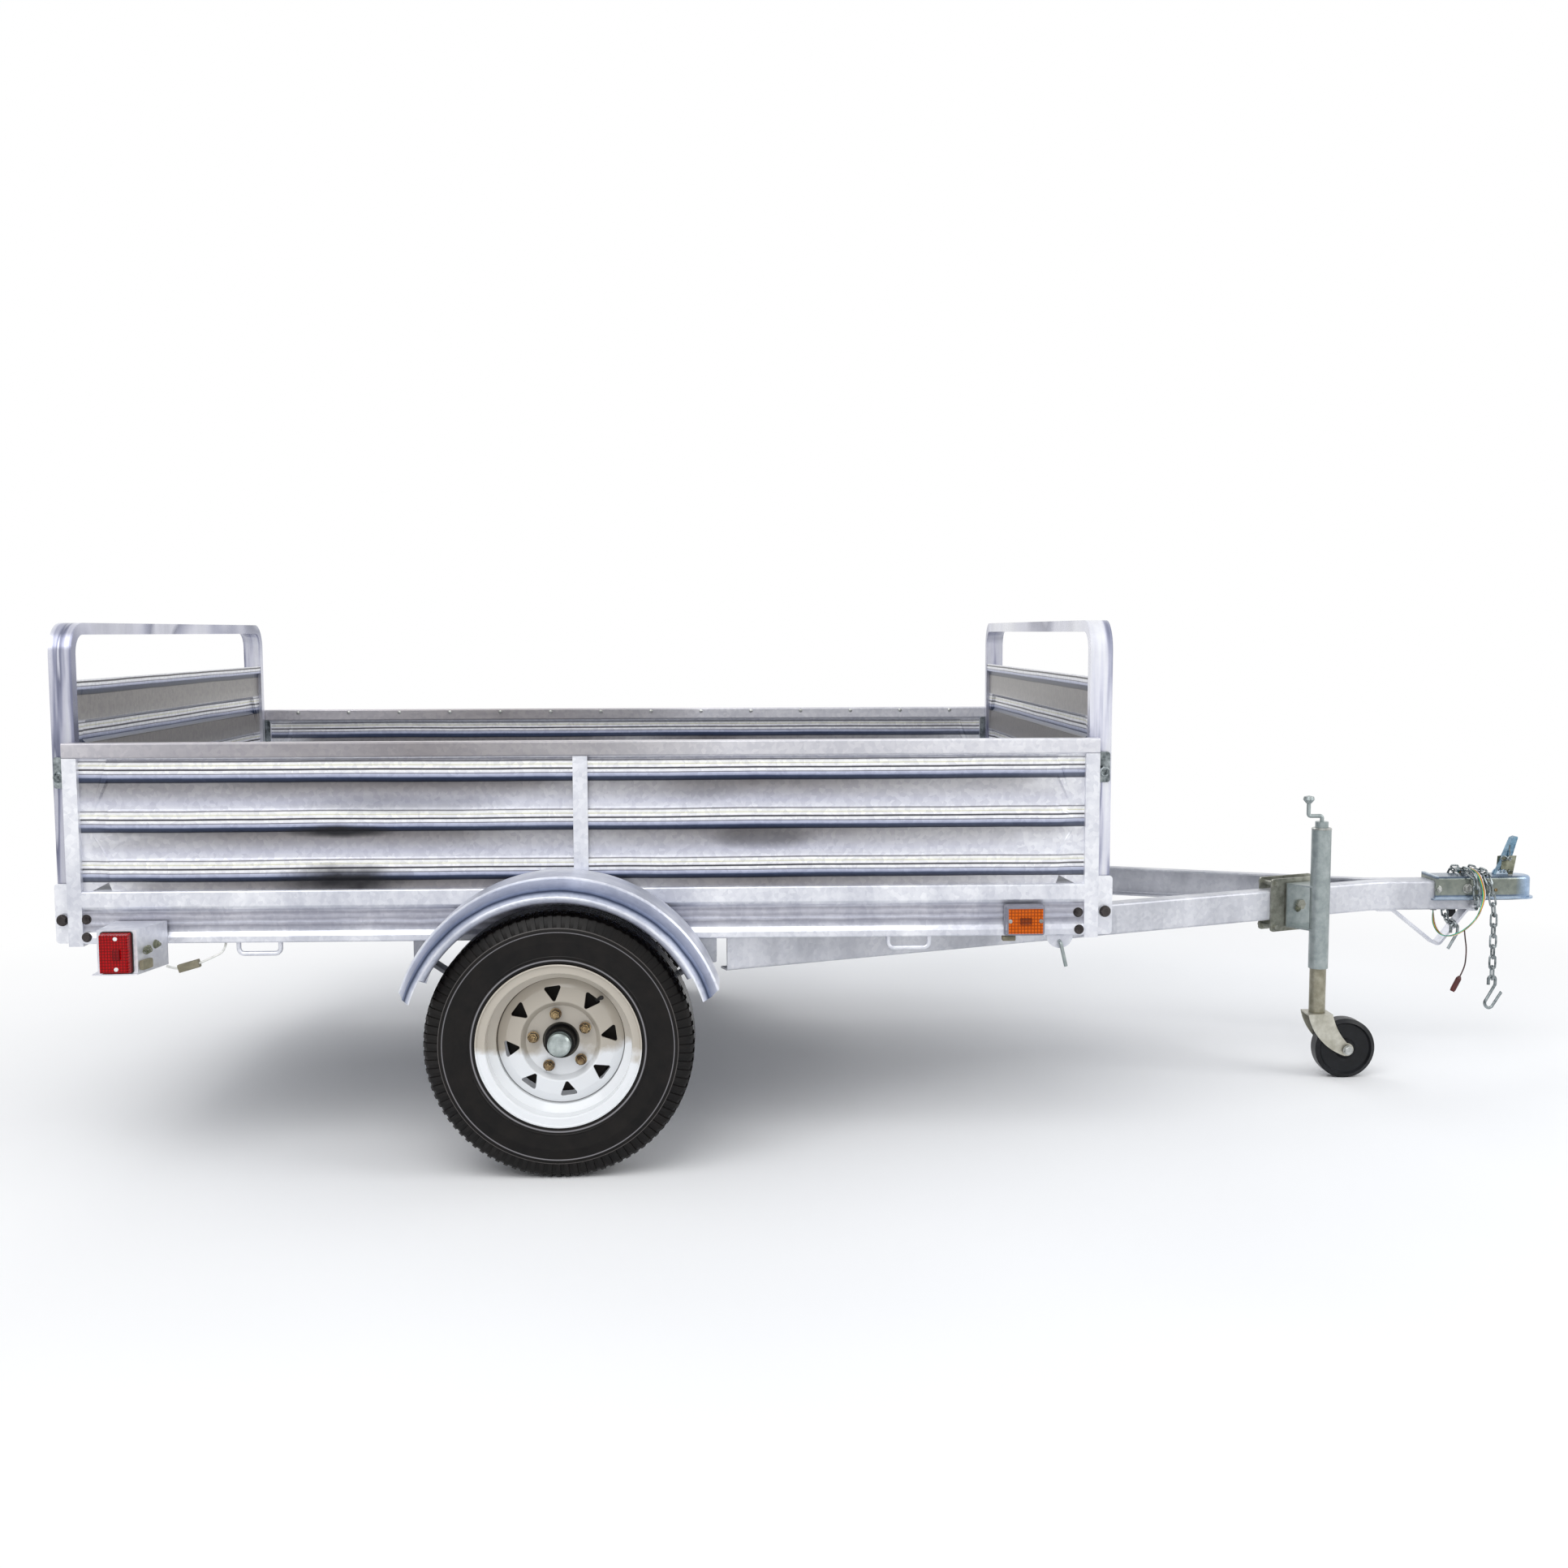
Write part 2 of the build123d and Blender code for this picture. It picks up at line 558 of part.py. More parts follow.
def save_gate_brackets():
    """Hinge brackets on the posts' feet with the gates' pivot bolts, and the latch brackets above"""
    plate_y = GATE_HALF + HINGE_GAP
    plate = BED_HALF - TOP_RAIL_WIDTH - plate_y
    with BuildPart() as hinges:
        for end, out in ((BED_X0, -1), (BED_X1, 1)):
            pivot_x = end + out * GATE_PIVOT_SET
            reach = pivot_x + out * HINGE_EDGE
            root = end - out * (POST_LENGTH - SEAT)
            with BuildSketch(Plane.XZ.offset(-plate_y)):
                with Locations(((reach + root) / 2, GATE_PIVOT_Z + (HINGE_RISE - HINGE_TAIL) / 2)):
                    RectangleRounded(abs(reach - root), HINGE_RISE + HINGE_TAIL, HINGE_ROUND)
            extrude(amount=-plate)
            bolt = plate_y - HINGE_GAP - HOOP_WIDTH - PIVOT_BOLT_GRIP
            with BuildSketch(Plane.XZ.offset(-bolt)):
                with Locations((pivot_x, GATE_PIVOT_Z)):
                    Circle(PIVOT_BOLT_R)
            extrude(amount=-(plate_y - bolt))
            with BuildSketch(Plane.XZ.offset(-plate_y - plate)):
                with Locations((pivot_x, GATE_PIVOT_Z)):
                    RegularPolygon(PIVOT_BOLT_HEAD, 6)
            extrude(amount=-PIVOT_BOLT_R)
    save(both_sides(hinges.part), "gate_hinges")

    with BuildPart() as latches:
        for end, out in ((BED_X0, -1), (BED_X1, 1)):
            reach = end + out * LATCH_EDGE
            root = end - out * POST_LENGTH
            pin_x = end + out * LATCH_PIN_SET
            with BuildSketch(Plane.XZ.offset(-plate_y)):
                with Locations(((reach + root) / 2, LATCH_Z)):
                    RectangleRounded(abs(reach - root), LATCH_HEIGHT, LATCH_ROUND)
            extrude(amount=-plate)
            with BuildSketch(Plane.XZ.offset(-plate_y)):
                with Locations((pin_x, LATCH_Z)):
                    Circle(LATCH_PIN_R)
            extrude(amount=-LATCH_PIN_LENGTH)
            with BuildLine(Plane.XZ.offset(-plate_y - LATCH_PIN_LENGTH)):
                CenterArc((pin_x, LATCH_Z - LATCH_RING_R), LATCH_RING_R, 0, 360)
            ring_foot = (pin_x + LATCH_RING_R, plate_y + LATCH_PIN_LENGTH, LATCH_Z - LATCH_RING_R)
            with BuildSketch(Plane(origin=ring_foot, z_dir=(0, 0, 1))):
                Circle(LATCH_WIRE_R)
            sweep()
    save(both_sides(latches.part), "gate_latches")


def wheel_plane(angle=0.0):
    """A plane through the wheel's axis: x along +Y, y outwards at `angle` ahead of the top"""
    turn = math.radians(angle)
    return Plane(origin=(AXLE_X, 0, HUB_Z), x_dir=(0, 1, 0), z_dir=(math.cos(turn), 0, -math.sin(turn)))


def save_fenders():
    """Rolled fender with a crease and a turned-in lip, concentric with the wheel, and its two stays"""
    w = FENDER_WALL / 2
    inner = BED_HALF + SEAT + w
    crease = FENDER_OUT - FENDER_CREASE_SET
    with BuildPart() as fender:
        with BuildSketch(wheel_plane(-FENDER_HALF_ANGLE)):
            trace(bent([(inner, FENDER_R - FENDER_FLANGE), (inner, FENDER_R - FENDER_SHOULDER),
                        (inner + FENDER_CROWN_SET, FENDER_R - w), (crease, FENDER_R - w),
                        (crease + FENDER_CREASE, FENDER_R - w - FENDER_CREASE),
                        (FENDER_OUT - 2 * SKIRT_LIP, FENDER_R - SKIRT_DROP / 2),
                        (FENDER_OUT - w, FENDER_R - SKIRT_DROP),
                        (FENDER_OUT - SKIRT_LIP, FENDER_R - SKIRT_DROP - SKIRT_LIP)], TIGHT_BEND),
                  line_width=FENDER_WALL)
        revolve(axis=HUB_AXIS, revolution_arc=2 * FENDER_HALF_ANGLE)
        for start in (-FENDER_HALF_ANGLE, FENDER_HALF_ANGLE - TAB_ARC):
            with BuildSketch(wheel_plane(start)):
                with Locations((FENDER_OUT - SKIRT_LIP, FENDER_R - SKIRT_DROP - w)):
                    Rectangle(4 * SKIRT_LIP, 2 * SKIRT_LIP, align=(Align.CENTER, Align.MAX))
            revolve(axis=HUB_AXIS, revolution_arc=TAB_ARC, mode=Mode.SUBTRACT)
    save_pair(fender.part, "fender")

    root = BED_HALF + 2 * SEAT + FENDER_WALL
    with BuildPart() as stays:
        for angle in (-STAY_ANGLE, STAY_ANGLE):
            out = Vector(math.sin(math.radians(angle)), 0, math.cos(math.radians(angle)))
            under = FENDER_R - FENDER_SHOULDER - FENDER_WALL - SEAT
            corner = Vector(AXLE_X, root, HUB_Z) + out * (under - STAY_WALL)
            with BuildSketch(Plane(origin=corner, x_dir=out, z_dir=(0, 1, 0))):
                Rectangle(STAY_WALL, STAY_LEG)
                with Locations((STAY_WALL / 2, 0)):
                    Rectangle(STAY_LEG, STAY_WALL, align=(Align.MAX, Align.CENTER))
            extrude(amount=STAY_REACH)
    save(both_sides(stays.part), "fender_stays")


def save_wheels():
    """Tyre, spoke rim, and hub with its lugs and dust cap"""
    bead = RIM_HALF - RIM_WALL - SEAT
    with BuildPart() as tyre:
        with BuildSketch(wheel_plane()):
            with BuildLine():
                # (distance from the wheel's middle plane, radius)
                half = [(TYRE_HALF - TYRE_SHOULDER, TYRE_R - 1), (TYRE_HALF - 4, TYRE_R - TYRE_SHOULDER),
                        (TYRE_HALF, TYRE_R - TYRE_BULGE), (TYRE_HALF - 7, RIM_R + 8), (bead, RIM_R - 2),
                        (bead, RIM_SEAT_R + SEAT)]
                left = [(WHEEL_Y + y, r) for y, r in half]
                right = [(WHEEL_Y - y, r) for y, r in reversed(half)]
                Polyline(*left, *right, close=True)
            make_face()
        revolve(axis=HUB_AXIS)
    save_pair(tyre.part, "tyre")

    w = RIM_WALL / 2
    flange, seat, well = RIM_R - w, RIM_SEAT_R - w, RIM_WELL_R
    # (distance from the wheel's middle plane, radius), from the rolled edge to the well
    barrel = [(RIM_HALF + RIM_LIP, flange), (RIM_HALF - w, flange - RIM_ROLL), (RIM_HALF - w, seat),
              (WELL_TOP, seat), (WELL_FOOT, well)]
    face = DISC_WALL / 2
    disc_line = [(face, CENTRE_BORE_R), (face, DOME_FOOT_R), (DOME_RISE, DOME_TOP_R), (DISC_SET, SPOKE_R),
                 (face, well - RIM_WALL), (-DISC_SET, well - RIM_WALL)]
    with BuildPart() as rim:
        with BuildSketch(wheel_plane()):
            left = [(WHEEL_Y + y, r) for y, r in barrel]
            right = [(WHEEL_Y - y, r) for y, r in reversed(barrel)]
            trace(bent(left + right, RIM_BEND), line_width=RIM_WALL)
            trace(bent([(WHEEL_Y + y, r) for y, r in disc_line], TIGHT_BEND), line_width=DISC_WALL)
        revolve(axis=HUB_AXIS)
        disc = Plane(origin=(AXLE_X, WHEEL_Y - DISC_SET / 2, HUB_Z), x_dir=(1, 0, 0), z_dir=(0, 1, 0))
        with BuildSketch(disc) as windows:
            with PolarLocations(WINDOW_R, WINDOW_COUNT, start_angle=90 + WINDOW_TURN):
                Triangle(a=WINDOW_SIDE, b=WINDOW_SIDE, c=WINDOW_SIDE, rotation=90)
            fillet(windows.vertices(), WINDOW_ROUND)
        extrude(amount=2 * DOME_RISE, mode=Mode.SUBTRACT)
        with BuildSketch(disc):
            with PolarLocations(LUG_PCD / 2, LUG_COUNT, start_angle=-90 + LUG_TURN):
                Circle(LUG_HOLE_R)
        extrude(amount=2 * DOME_RISE, mode=Mode.SUBTRACT)
    save_pair(rim.part, "rim")

    front, rear, cap = WHEEL_Y + HUB_FRONT, WHEEL_Y - HUB_REAR, WHEEL_Y + CAP_OUT
    with BuildPart() as hub:
        with BuildSketch(wheel_plane()):
            with BuildLine():
                face = WHEEL_Y - SEAT
                Polyline((rear, SPINDLE_R + FIT), (rear, HUB_BARREL_R), (face - 2 * HUB_FLANGE, HUB_BARREL_R),
                         (face - HUB_FLANGE, HUB_FLANGE_R), (face, HUB_FLANGE_R), (face, HUB_R),
                         (front, HUB_R), (front, CAP_R), (cap - CAP_ROUND, CAP_R),
                         (cap, CAP_R - CAP_ROUND), (cap, 0),
                         (cap - CAP_WALL, 0), (cap - CAP_WALL, SPINDLE_R + FIT), close=True)
            make_face()
        revolve(axis=HUB_AXIS)
        stud = Plane(origin=(AXLE_X, WHEEL_Y - SEAT, HUB_Z), x_dir=(1, 0, 0), z_dir=(0, 1, 0))
        with BuildSketch(stud):
            with PolarLocations(LUG_PCD / 2, LUG_COUNT, start_angle=-90 + LUG_TURN):
                Circle(STUD_R)
        extrude(amount=DISC_WALL + STUD_OUT)
        with BuildSketch(stud.offset(DISC_WALL + SEAT + SEAT)):
            with PolarLocations(LUG_PCD / 2, LUG_COUNT, start_angle=-90 + LUG_TURN):
                RegularPolygon(LUG_R, 6)
        extrude(amount=LUG_HEIGHT)
    save_pair(hub.part, "hub")


def save_axle():
    """Axle bar with its spindles, the leaf springs above it, their clamps and hangers"""
    axle_end = WHEEL_Y - AXLE_END_SET
    spindle_end = WHEEL_Y + SPINDLE_OUT
    with BuildPart() as axle:
        with BuildSketch(wheel_plane()):
            with BuildLine():
                Polyline((-axle_end, 0), (-axle_end, AXLE_R), (axle_end, AXLE_R), (axle_end, 0), close=True)
            make_face()
            for side in (-1, 1):
                with Locations((side * (axle_end + spindle_end) / 2, SPINDLE_R / 2)):
                    Rectangle(spindle_end - axle_end, SPINDLE_R)
        revolve(axis=HUB_AXIS)
    save(axle.part, "axle")

    seat_z = HUB_Z + AXLE_R + SEAT
    stack = SPRING_LEAF * len(LEAF_SHARES)
    leaf_z = seat_z + stack - SPRING_LEAF / 2
    rise = EYE_Z - leaf_z
    bow = (SPRING_HALF ** 2 + rise ** 2) / (2 * rise)
    with BuildPart() as spring:
        for i, share in enumerate(LEAF_SHARES):
            reach = math.degrees(math.asin(SPRING_HALF / bow)) * share
            with BuildLine() as leaf:
                CenterArc((AXLE_X, leaf_z + bow), bow + i * SPRING_LEAF, 270 - reach, 2 * reach)
            with BuildSketch(Plane.XZ.offset(-SPRING_Y)):
                trace(leaf.line, line_width=SPRING_LEAF)
            extrude(amount=SPRING_WIDTH / 2, both=True)
        with BuildSketch(Plane.XZ.offset(-SPRING_Y)):
            with Locations((AXLE_X - SPRING_HALF, EYE_Z), (AXLE_X + SPRING_HALF, EYE_Z)):
                Circle(EYE_R)
        extrude(amount=SPRING_WIDTH / 2, both=True)
    save_pair(spring.part, "leaf_spring")

    pad_z = HUB_Z - AXLE_R - SEAT
    leg_x = AXLE_R + SEAT + U_BOLT_R
    leg_y = SPRING_WIDTH / 2 + SEAT + U_BOLT_R
    crown_z = leaf_z + SPRING_LEAF / 2 + leg_x ** 2 / bow + SEAT + U_BOLT_R
    foot_z = pad_z - 2 * CLAMP_PAD
    near, far = SPRING_Y - leg_y, SPRING_Y + leg_y
    with BuildPart() as clamps:
        for x in (AXLE_X - leg_x, AXLE_X + leg_x):
            with BuildLine():
                FilletPolyline((x, near, foot_z), (x, near, crown_z), (x, far, crown_z), (x, far, foot_z),
                               radius=U_BOLT_BEND)
            with BuildSketch(Plane.XY.offset(foot_z)):
                with Locations((x, near)):
                    Circle(U_BOLT_R)
            sweep()
        with Locations((AXLE_X, SPRING_Y, pad_z)):
            Box(2 * (leg_x + 2 * U_BOLT_R), 2 * (leg_y + 2 * U_BOLT_R), CLAMP_PAD,
                align=(Align.CENTER, Align.CENTER, Align.MAX))
    save(both_sides(clamps.part), "axle_clamps")

    with BuildPart() as hangers:
        for end in (-1, 1):
            for side in (-1, 1):
                plate = SPRING_Y + side * (SPRING_WIDTH / 2 + SEAT + HANGER_PLATE / 2)
                with BuildSketch(Plane.XZ.offset(-plate)):
                    with Locations((AXLE_X + end * SPRING_HALF, (FRAME_Z + EYE_Z - EYE_R) / 2)):
                        RectangleRounded(HANGER_LENGTH, FRAME_Z - EYE_Z + EYE_R, HANGER_ROUND)
                extrude(amount=HANGER_PLATE / 2, both=True)
            with BuildSketch(Plane.XY.offset(FRAME_Z - HANGER_PLATE)):
                with Locations((AXLE_X + end * SPRING_HALF, SPRING_Y)):
                    Rectangle(HANGER_LENGTH, SPRING_WIDTH + 2 * SEAT + 2 * HANGER_PLATE)
            extrude(amount=HANGER_PLATE)
    save(both_sides(hangers.part), "spring_hangers")


def save_tongue():
    """Left and right tongue beams, channels that converge and run side by side to the coupler"""
    turn = math.radians(TONGUE_ANGLE)
    along = Vector(math.cos(turn), -math.sin(turn), 0)
    inwards = Vector(-math.sin(turn), -math.cos(turn), 0)
    rear = Vector(AXLE_X + BEAM_REAR_X, BEAM_REAR_HALF, BEAM_Z0)
    bend = Vector(AXLE_X + BEAM_BEND_X, BEAM_WIDTH, BEAM_Z0)
    front = Vector(AXLE_X + BEAM_FRONT_X, BEAM_WIDTH, BEAM_Z0)
    w = BEAM_WALL / 2
    with BuildPart() as beam:
        with BuildLine():
            FilletPolyline(rear, bend, front, radius=BEAM_BEND_R)
        with BuildSketch(Plane(origin=rear, x_dir=inwards, z_dir=-along)):
            lip, top = BEAM_WIDTH - SEAT, BEAM_HEIGHT - w
            trace(bent([(lip, w), (w, w), (w, top), (lip, top)]), line_width=BEAM_WALL)
        sweep()
        with BuildSketch(Plane.XZ):
            Polygon((front.X, BEAM_Z0), (front.X, BEAM_Z0 + BEAM_CHAMFER), (front.X - BEAM_CHAMFER, BEAM_Z0),
                    align=None)
        extrude(amount=-2 * BEAM_WIDTH, mode=Mode.SUBTRACT)
        x0, x1 = front.X - 2 * STAPLE_HALF - BEAM_CHAMFER, front.X - BEAM_CHAMFER
        root, out = BEAM_WIDTH - w, BEAM_WIDTH + STAPLE_OUT
        z = BEAM_Z0 + WIRE + 2 * STAPLE_R
        with BuildLine():
            FilletPolyline((x0, root, z), (x0, out, z), (x1, out, z), (x1, root, z), radius=STAPLE_R + 1)
        with BuildSketch(Plane(origin=(x0, root, z), z_dir=(0, 1, 0))):
            Circle(STAPLE_R)
        sweep()
    save_pair(beam.part, "tongue_beam")


def save_coupler():
    """Pressed coupler: an upturned channel with a domed nose, a flared foot and a ball socket"""
    rear_x = AXLE_X + COUPLER_REAR_X
    half = BEAM_WIDTH + SEAT + COUPLER_WALL
    taper_x = NOSE_X - COUPLER_TAPER
    with BuildPart() as coupler:
        with BuildSketch(Plane.XY.offset(COUPLER_FOOT_Z)) as plan:
            with BuildLine():
                Polyline((rear_x, -half), (rear_x, half), (taper_x, half), (NOSE_X, NOSE_R))
                RadiusArc((NOSE_X, NOSE_R), (NOSE_X, -NOSE_R), NOSE_R)
                Polyline((NOSE_X, -NOSE_R), (taper_x, -half), (rear_x, -half))
            make_face()
        extrude(amount=COUPLER_HEIGHT)
        fillet(coupler.faces().sort_by(Axis.Z)[-1].edges(), COUPLER_ROUND)
        offset(amount=-COUPLER_WALL, openings=coupler.faces().sort_by(Axis.Z)[0])
        with BuildSketch(Plane.XY.offset(COUPLER_FOOT_Z)):
            offset(plan.sketch, amount=COUPLER_FLANGE, kind=Kind.ARC)
            offset(plan.sketch, amount=-COUPLER_WALL, kind=Kind.INTERSECTION, mode=Mode.SUBTRACT)
        extrude(amount=COUPLER_WALL)
        with BuildSketch(Plane.YZ.offset(rear_x)):
            with Locations((0, COUPLER_FOOT_Z)):
                Rectangle(2 * (half + COUPLER_COLLAR), COUPLER_HEIGHT + COUPLER_COLLAR,
                          align=(Align.CENTER, Align.MIN))
        extrude(amount=COUPLER_FLANGE)
        with Locations((rear_x, 0, COUPLER_FOOT_Z)):
            Box(4 * COUPLER_FLANGE, 2 * (BEAM_WIDTH + SEAT), FRAME_Z + SEAT - COUPLER_FOOT_Z,
                align=(Align.CENTER, Align.CENTER, Align.MIN), mode=Mode.SUBTRACT)
        with BuildSketch(Plane.XY.offset(COUPLER_FOOT_Z)):
            with Locations((NOSE_X, 0)):
                Circle(NOSE_R - COUPLER_WALL / 2)
        extrude(amount=COUPLER_HEIGHT - COUPLER_WALL)
        with BuildSketch(Plane.XY.offset(COUPLER_FOOT_Z)):
            with Locations((NOSE_X, 0)):
                Circle(BALL_R + BALL_GAP)
        extrude(amount=BALL_SOCKET, mode=Mode.SUBTRACT)
        with Locations((NOSE_X, 0, COUPLER_FOOT_Z + BALL_SOCKET)):
            Sphere(BALL_R + BALL_GAP, mode=Mode.SUBTRACT)
        for y in (LEVER_HALF + SEAT, -LEVER_HALF - SEAT - EAR_WALL):
            with BuildSketch(Plane.XZ.offset(-y)):
                with Locations((NOSE_X - LEVER_SET, COUPLER_TOP_Z)):
                    Circle(EAR_R)
                    Rectangle(2 * EAR_R, EAR_R, align=(Align.CENTER, Align.MAX), mode=Mode.SUBTRACT)
            extrude(amount=-EAR_WALL)
    save(coupler.part, "coupler")

    hinge_x, foot_z = NOSE_X - LEVER_SET, COUPLER_TOP_Z + SEAT
    pin_z = COUPLER_TOP_Z + EAR_R / 2
    tip_x, tip_z = hinge_x + LEVER_LEAN, COUPLER_TOP_Z + LEVER_HEIGHT
    with BuildPart() as latch:
        with BuildSketch(Plane.XZ):
            Polygon((hinge_x - LEVER_FOOT / 2, foot_z), (hinge_x + LEVER_FOOT / 2, foot_z),
                    (tip_x + LEVER_TOP / 2, tip_z), (tip_x - LEVER_TOP / 2, tip_z - LEVER_TOP / 2),
                    align=None)
        extrude(amount=LEVER_HALF, both=True)
        fillet(latch.edges().filter_by(Axis.Y).group_by(Axis.Z)[-1], LEVER_TOP / 4)
    save(latch.part, "coupler_latch")


def save_skid():
    """V-shaped skid of flat bar under the beams' front ends"""
    half = SKID_BAR / 2
    top = BEAM_Z0 - half
    rear, low, front = (AXLE_X + BEAM_BEND_X + x for x in (SKID_SET, SKID_LOW, SKID_FRONT))
    with BuildPart() as skid:
        with BuildSketch(Plane.XZ):
            trace(bent([(rear - SKID_TOE, top), (rear, top), (low, BEAM_Z0 - SKID_DROP + half), (front, top),
                        (front + SKID_TOE / 2, top)], SKID_BEND), line_width=SKID_BAR)
        extrude(amount=SKID_WIDTH / 2, both=True)
    save(skid.part, "tongue_skid")


def hexagon(grow):
    """Plan of a link's wire: a long hexagon, its inner outline set outwards by `grow`"""
    half = LINK_HALF + grow
    apex = LINK_INNER / 2 + grow / math.sin(math.radians(60))
    side = apex - half / math.tan(math.radians(60))
    return [(apex, 0), (side, half), (-side, half), (-apex, 0), (-side, -half), (side, -half)]


def link_solid():
    """One chain link lying in the XY plane, a long hexagon of six-sided wire"""
    bevel = WIRE_HEIGHT / 2 * math.tan(math.radians(30))
    with BuildPart() as link:
        # (outline at the wire's middle, outline at its flat, how it counts)
        for middle, edge, mode in ((WIRE, WIRE - bevel, Mode.ADD), (0, bevel, Mode.SUBTRACT)):
            for face in (-WIRE_HEIGHT / 2, WIRE_HEIGHT / 2):
                with BuildSketch(Plane.XY):
                    Polygon(*hexagon(middle), align=None)
                with BuildSketch(Plane.XY.offset(face)):
                    Polygon(*hexagon(edge), align=None)
                loft(ruled=True, mode=mode)
    return link.part


def chain_planes(route, count):
    """Planes for a chain's links: pins are stepped along the route, every other link lies flat to it"""
    wire = Wire(route)
    samples = [wire.position_at(i / ROUTE_SAMPLES) for i in range(ROUTE_SAMPLES + 1)]
    long_step, short_step = LINK_INNER + 2 * PIN_SET, LINK_INNER - 2 * PIN_BACK
    planes, pin, k = [], samples[0], 0
    for i in range(count):
        step = short_step if i % 2 == 0 else long_step
        while k < len(samples) - 1 and (samples[k] - pin).length < step:
            k += 1
        along = (samples[k] - pin).normalized()
        across = Vector(1, 0, 0)
        across = (across - along * across.dot(along)).normalized()
        normal = across if i % 2 == 0 else along.cross(across)
        planes.append(Plane(origin=pin + along * step / 2, x_dir=along, z_dir=normal))
        pin = pin + along * step
    return planes, pin


def save_chains():
    """Two safety chains, each hooked in a staple, laid over the coupler and ending in an S-hook"""
    y = BEAM_WIDTH + SEAT + COUPLER_WALL + COUPLER_FLANGE + CHAIN_OFF
    staple_x = AXLE_X + BEAM_FRONT_X - STAPLE_HALF - BEAM_CHAMFER
    staple = (staple_x, BEAM_WIDTH + STAPLE_OUT, BEAM_Z0 + WIRE + 2 * STAPLE_R)
    roof = COUPLER_TOP_Z + CHAIN_OFF + CHAIN_EASE
    low = COUPLER_FOOT_Z - CHAIN_TURN_R
    lift = COUPLER_FOOT_Z + CHAIN_LIFT
    # (the staple's side, links, points past the staple: x from it, y towards its own side, z)
    chains = ((1, HANGING_LINKS, [(6, y + 5, lift), (18, y, roof), (28, -y, roof), (46, -y, low),
                                  (48, -y, CASTER_R)]),
              (-1, TUCKED_LINKS, [(-2, y + 5, lift), (-8, y, roof), (-20, -y, roof), (-34, -y, BEAM_Z0 - 4),
                                  (-44, -22, BEAM_Z0 - TUCK_DROP), (-52, y, BEAM_Z0 - TUCK_DROP - 4)]))
    link = link_solid()
    ends = []
    with BuildPart() as links:
        for side, count, points in chains:
            route = [staple] + [(staple[0] + x, v, z) for x, v, z in points]
            with BuildLine() as path:
                FilletPolyline(*[(x, side * v, z) for x, v, z in route], radius=CHAIN_TURN_R)
            planes, end = chain_planes(path.line.edges(), count)
            ends.append(end - planes[-1].x_dir * S_HOOK_SLACK)
            with Locations(*planes):
                add(link)
    save(links.part, "safety_chains")

    eye, bow = S_HOOK_EYE, S_HOOK_BOW
    bends = [eye - 1, eye - 1, eye, bow / 2, bow / 2]
    with BuildPart() as hooks:
        for end in ends:
            with BuildLine(Plane(origin=end, x_dir=(1, 0, 0), z_dir=(0, -1, 0))):
                FilletPolyline((-eye, -S_HOOK_TAIL), (-eye, 0), (eye, 0), (eye, -S_HOOK_TAIL),
                               (-bow, -S_HOOK_DROP), (0, -S_HOOK_DROP), (bow, -S_HOOK_TIP), radius=bends)
            tail = end - Vector(eye, 0, S_HOOK_TAIL)
            with BuildSketch(Plane(origin=tail, z_dir=(0, 0, 1))):
                Circle(S_HOOK_R)
            sweep()
    save(hooks.part, "chain_hooks")


def cord(name, radius, route):
    """The plain tube of a free lead: straight runs joined by arcs as large as the runs allow"""
    points = [Vector(AXLE_X + x, y, z) for x, y, z in route]
    runs = [b - a for a, b in zip(points, points[1:])]
    bends = []
    for before, after in zip(runs, runs[1:]):
        turn = math.radians(before.get_angle(after))
        bends.append(BEND_SHARE * min(before.length, after.length) / math.tan(turn / 2))
    with BuildPart() as tube:
        with BuildLine() as line:
            FilletPolyline(*points, radius=bends)
        with BuildSketch(Plane(origin=points[0], z_dir=runs[0])):
            Circle(radius)
        sweep()
    length = sum(edge.length for edge in line.line.edges())
    ratio = tube.part.volume / (math.pi * radius ** 2 * length)
    print(name, "length", round(length), "radii", [round(b) for b in bends], "volume ratio", round(ratio, 4))
    return tube.part


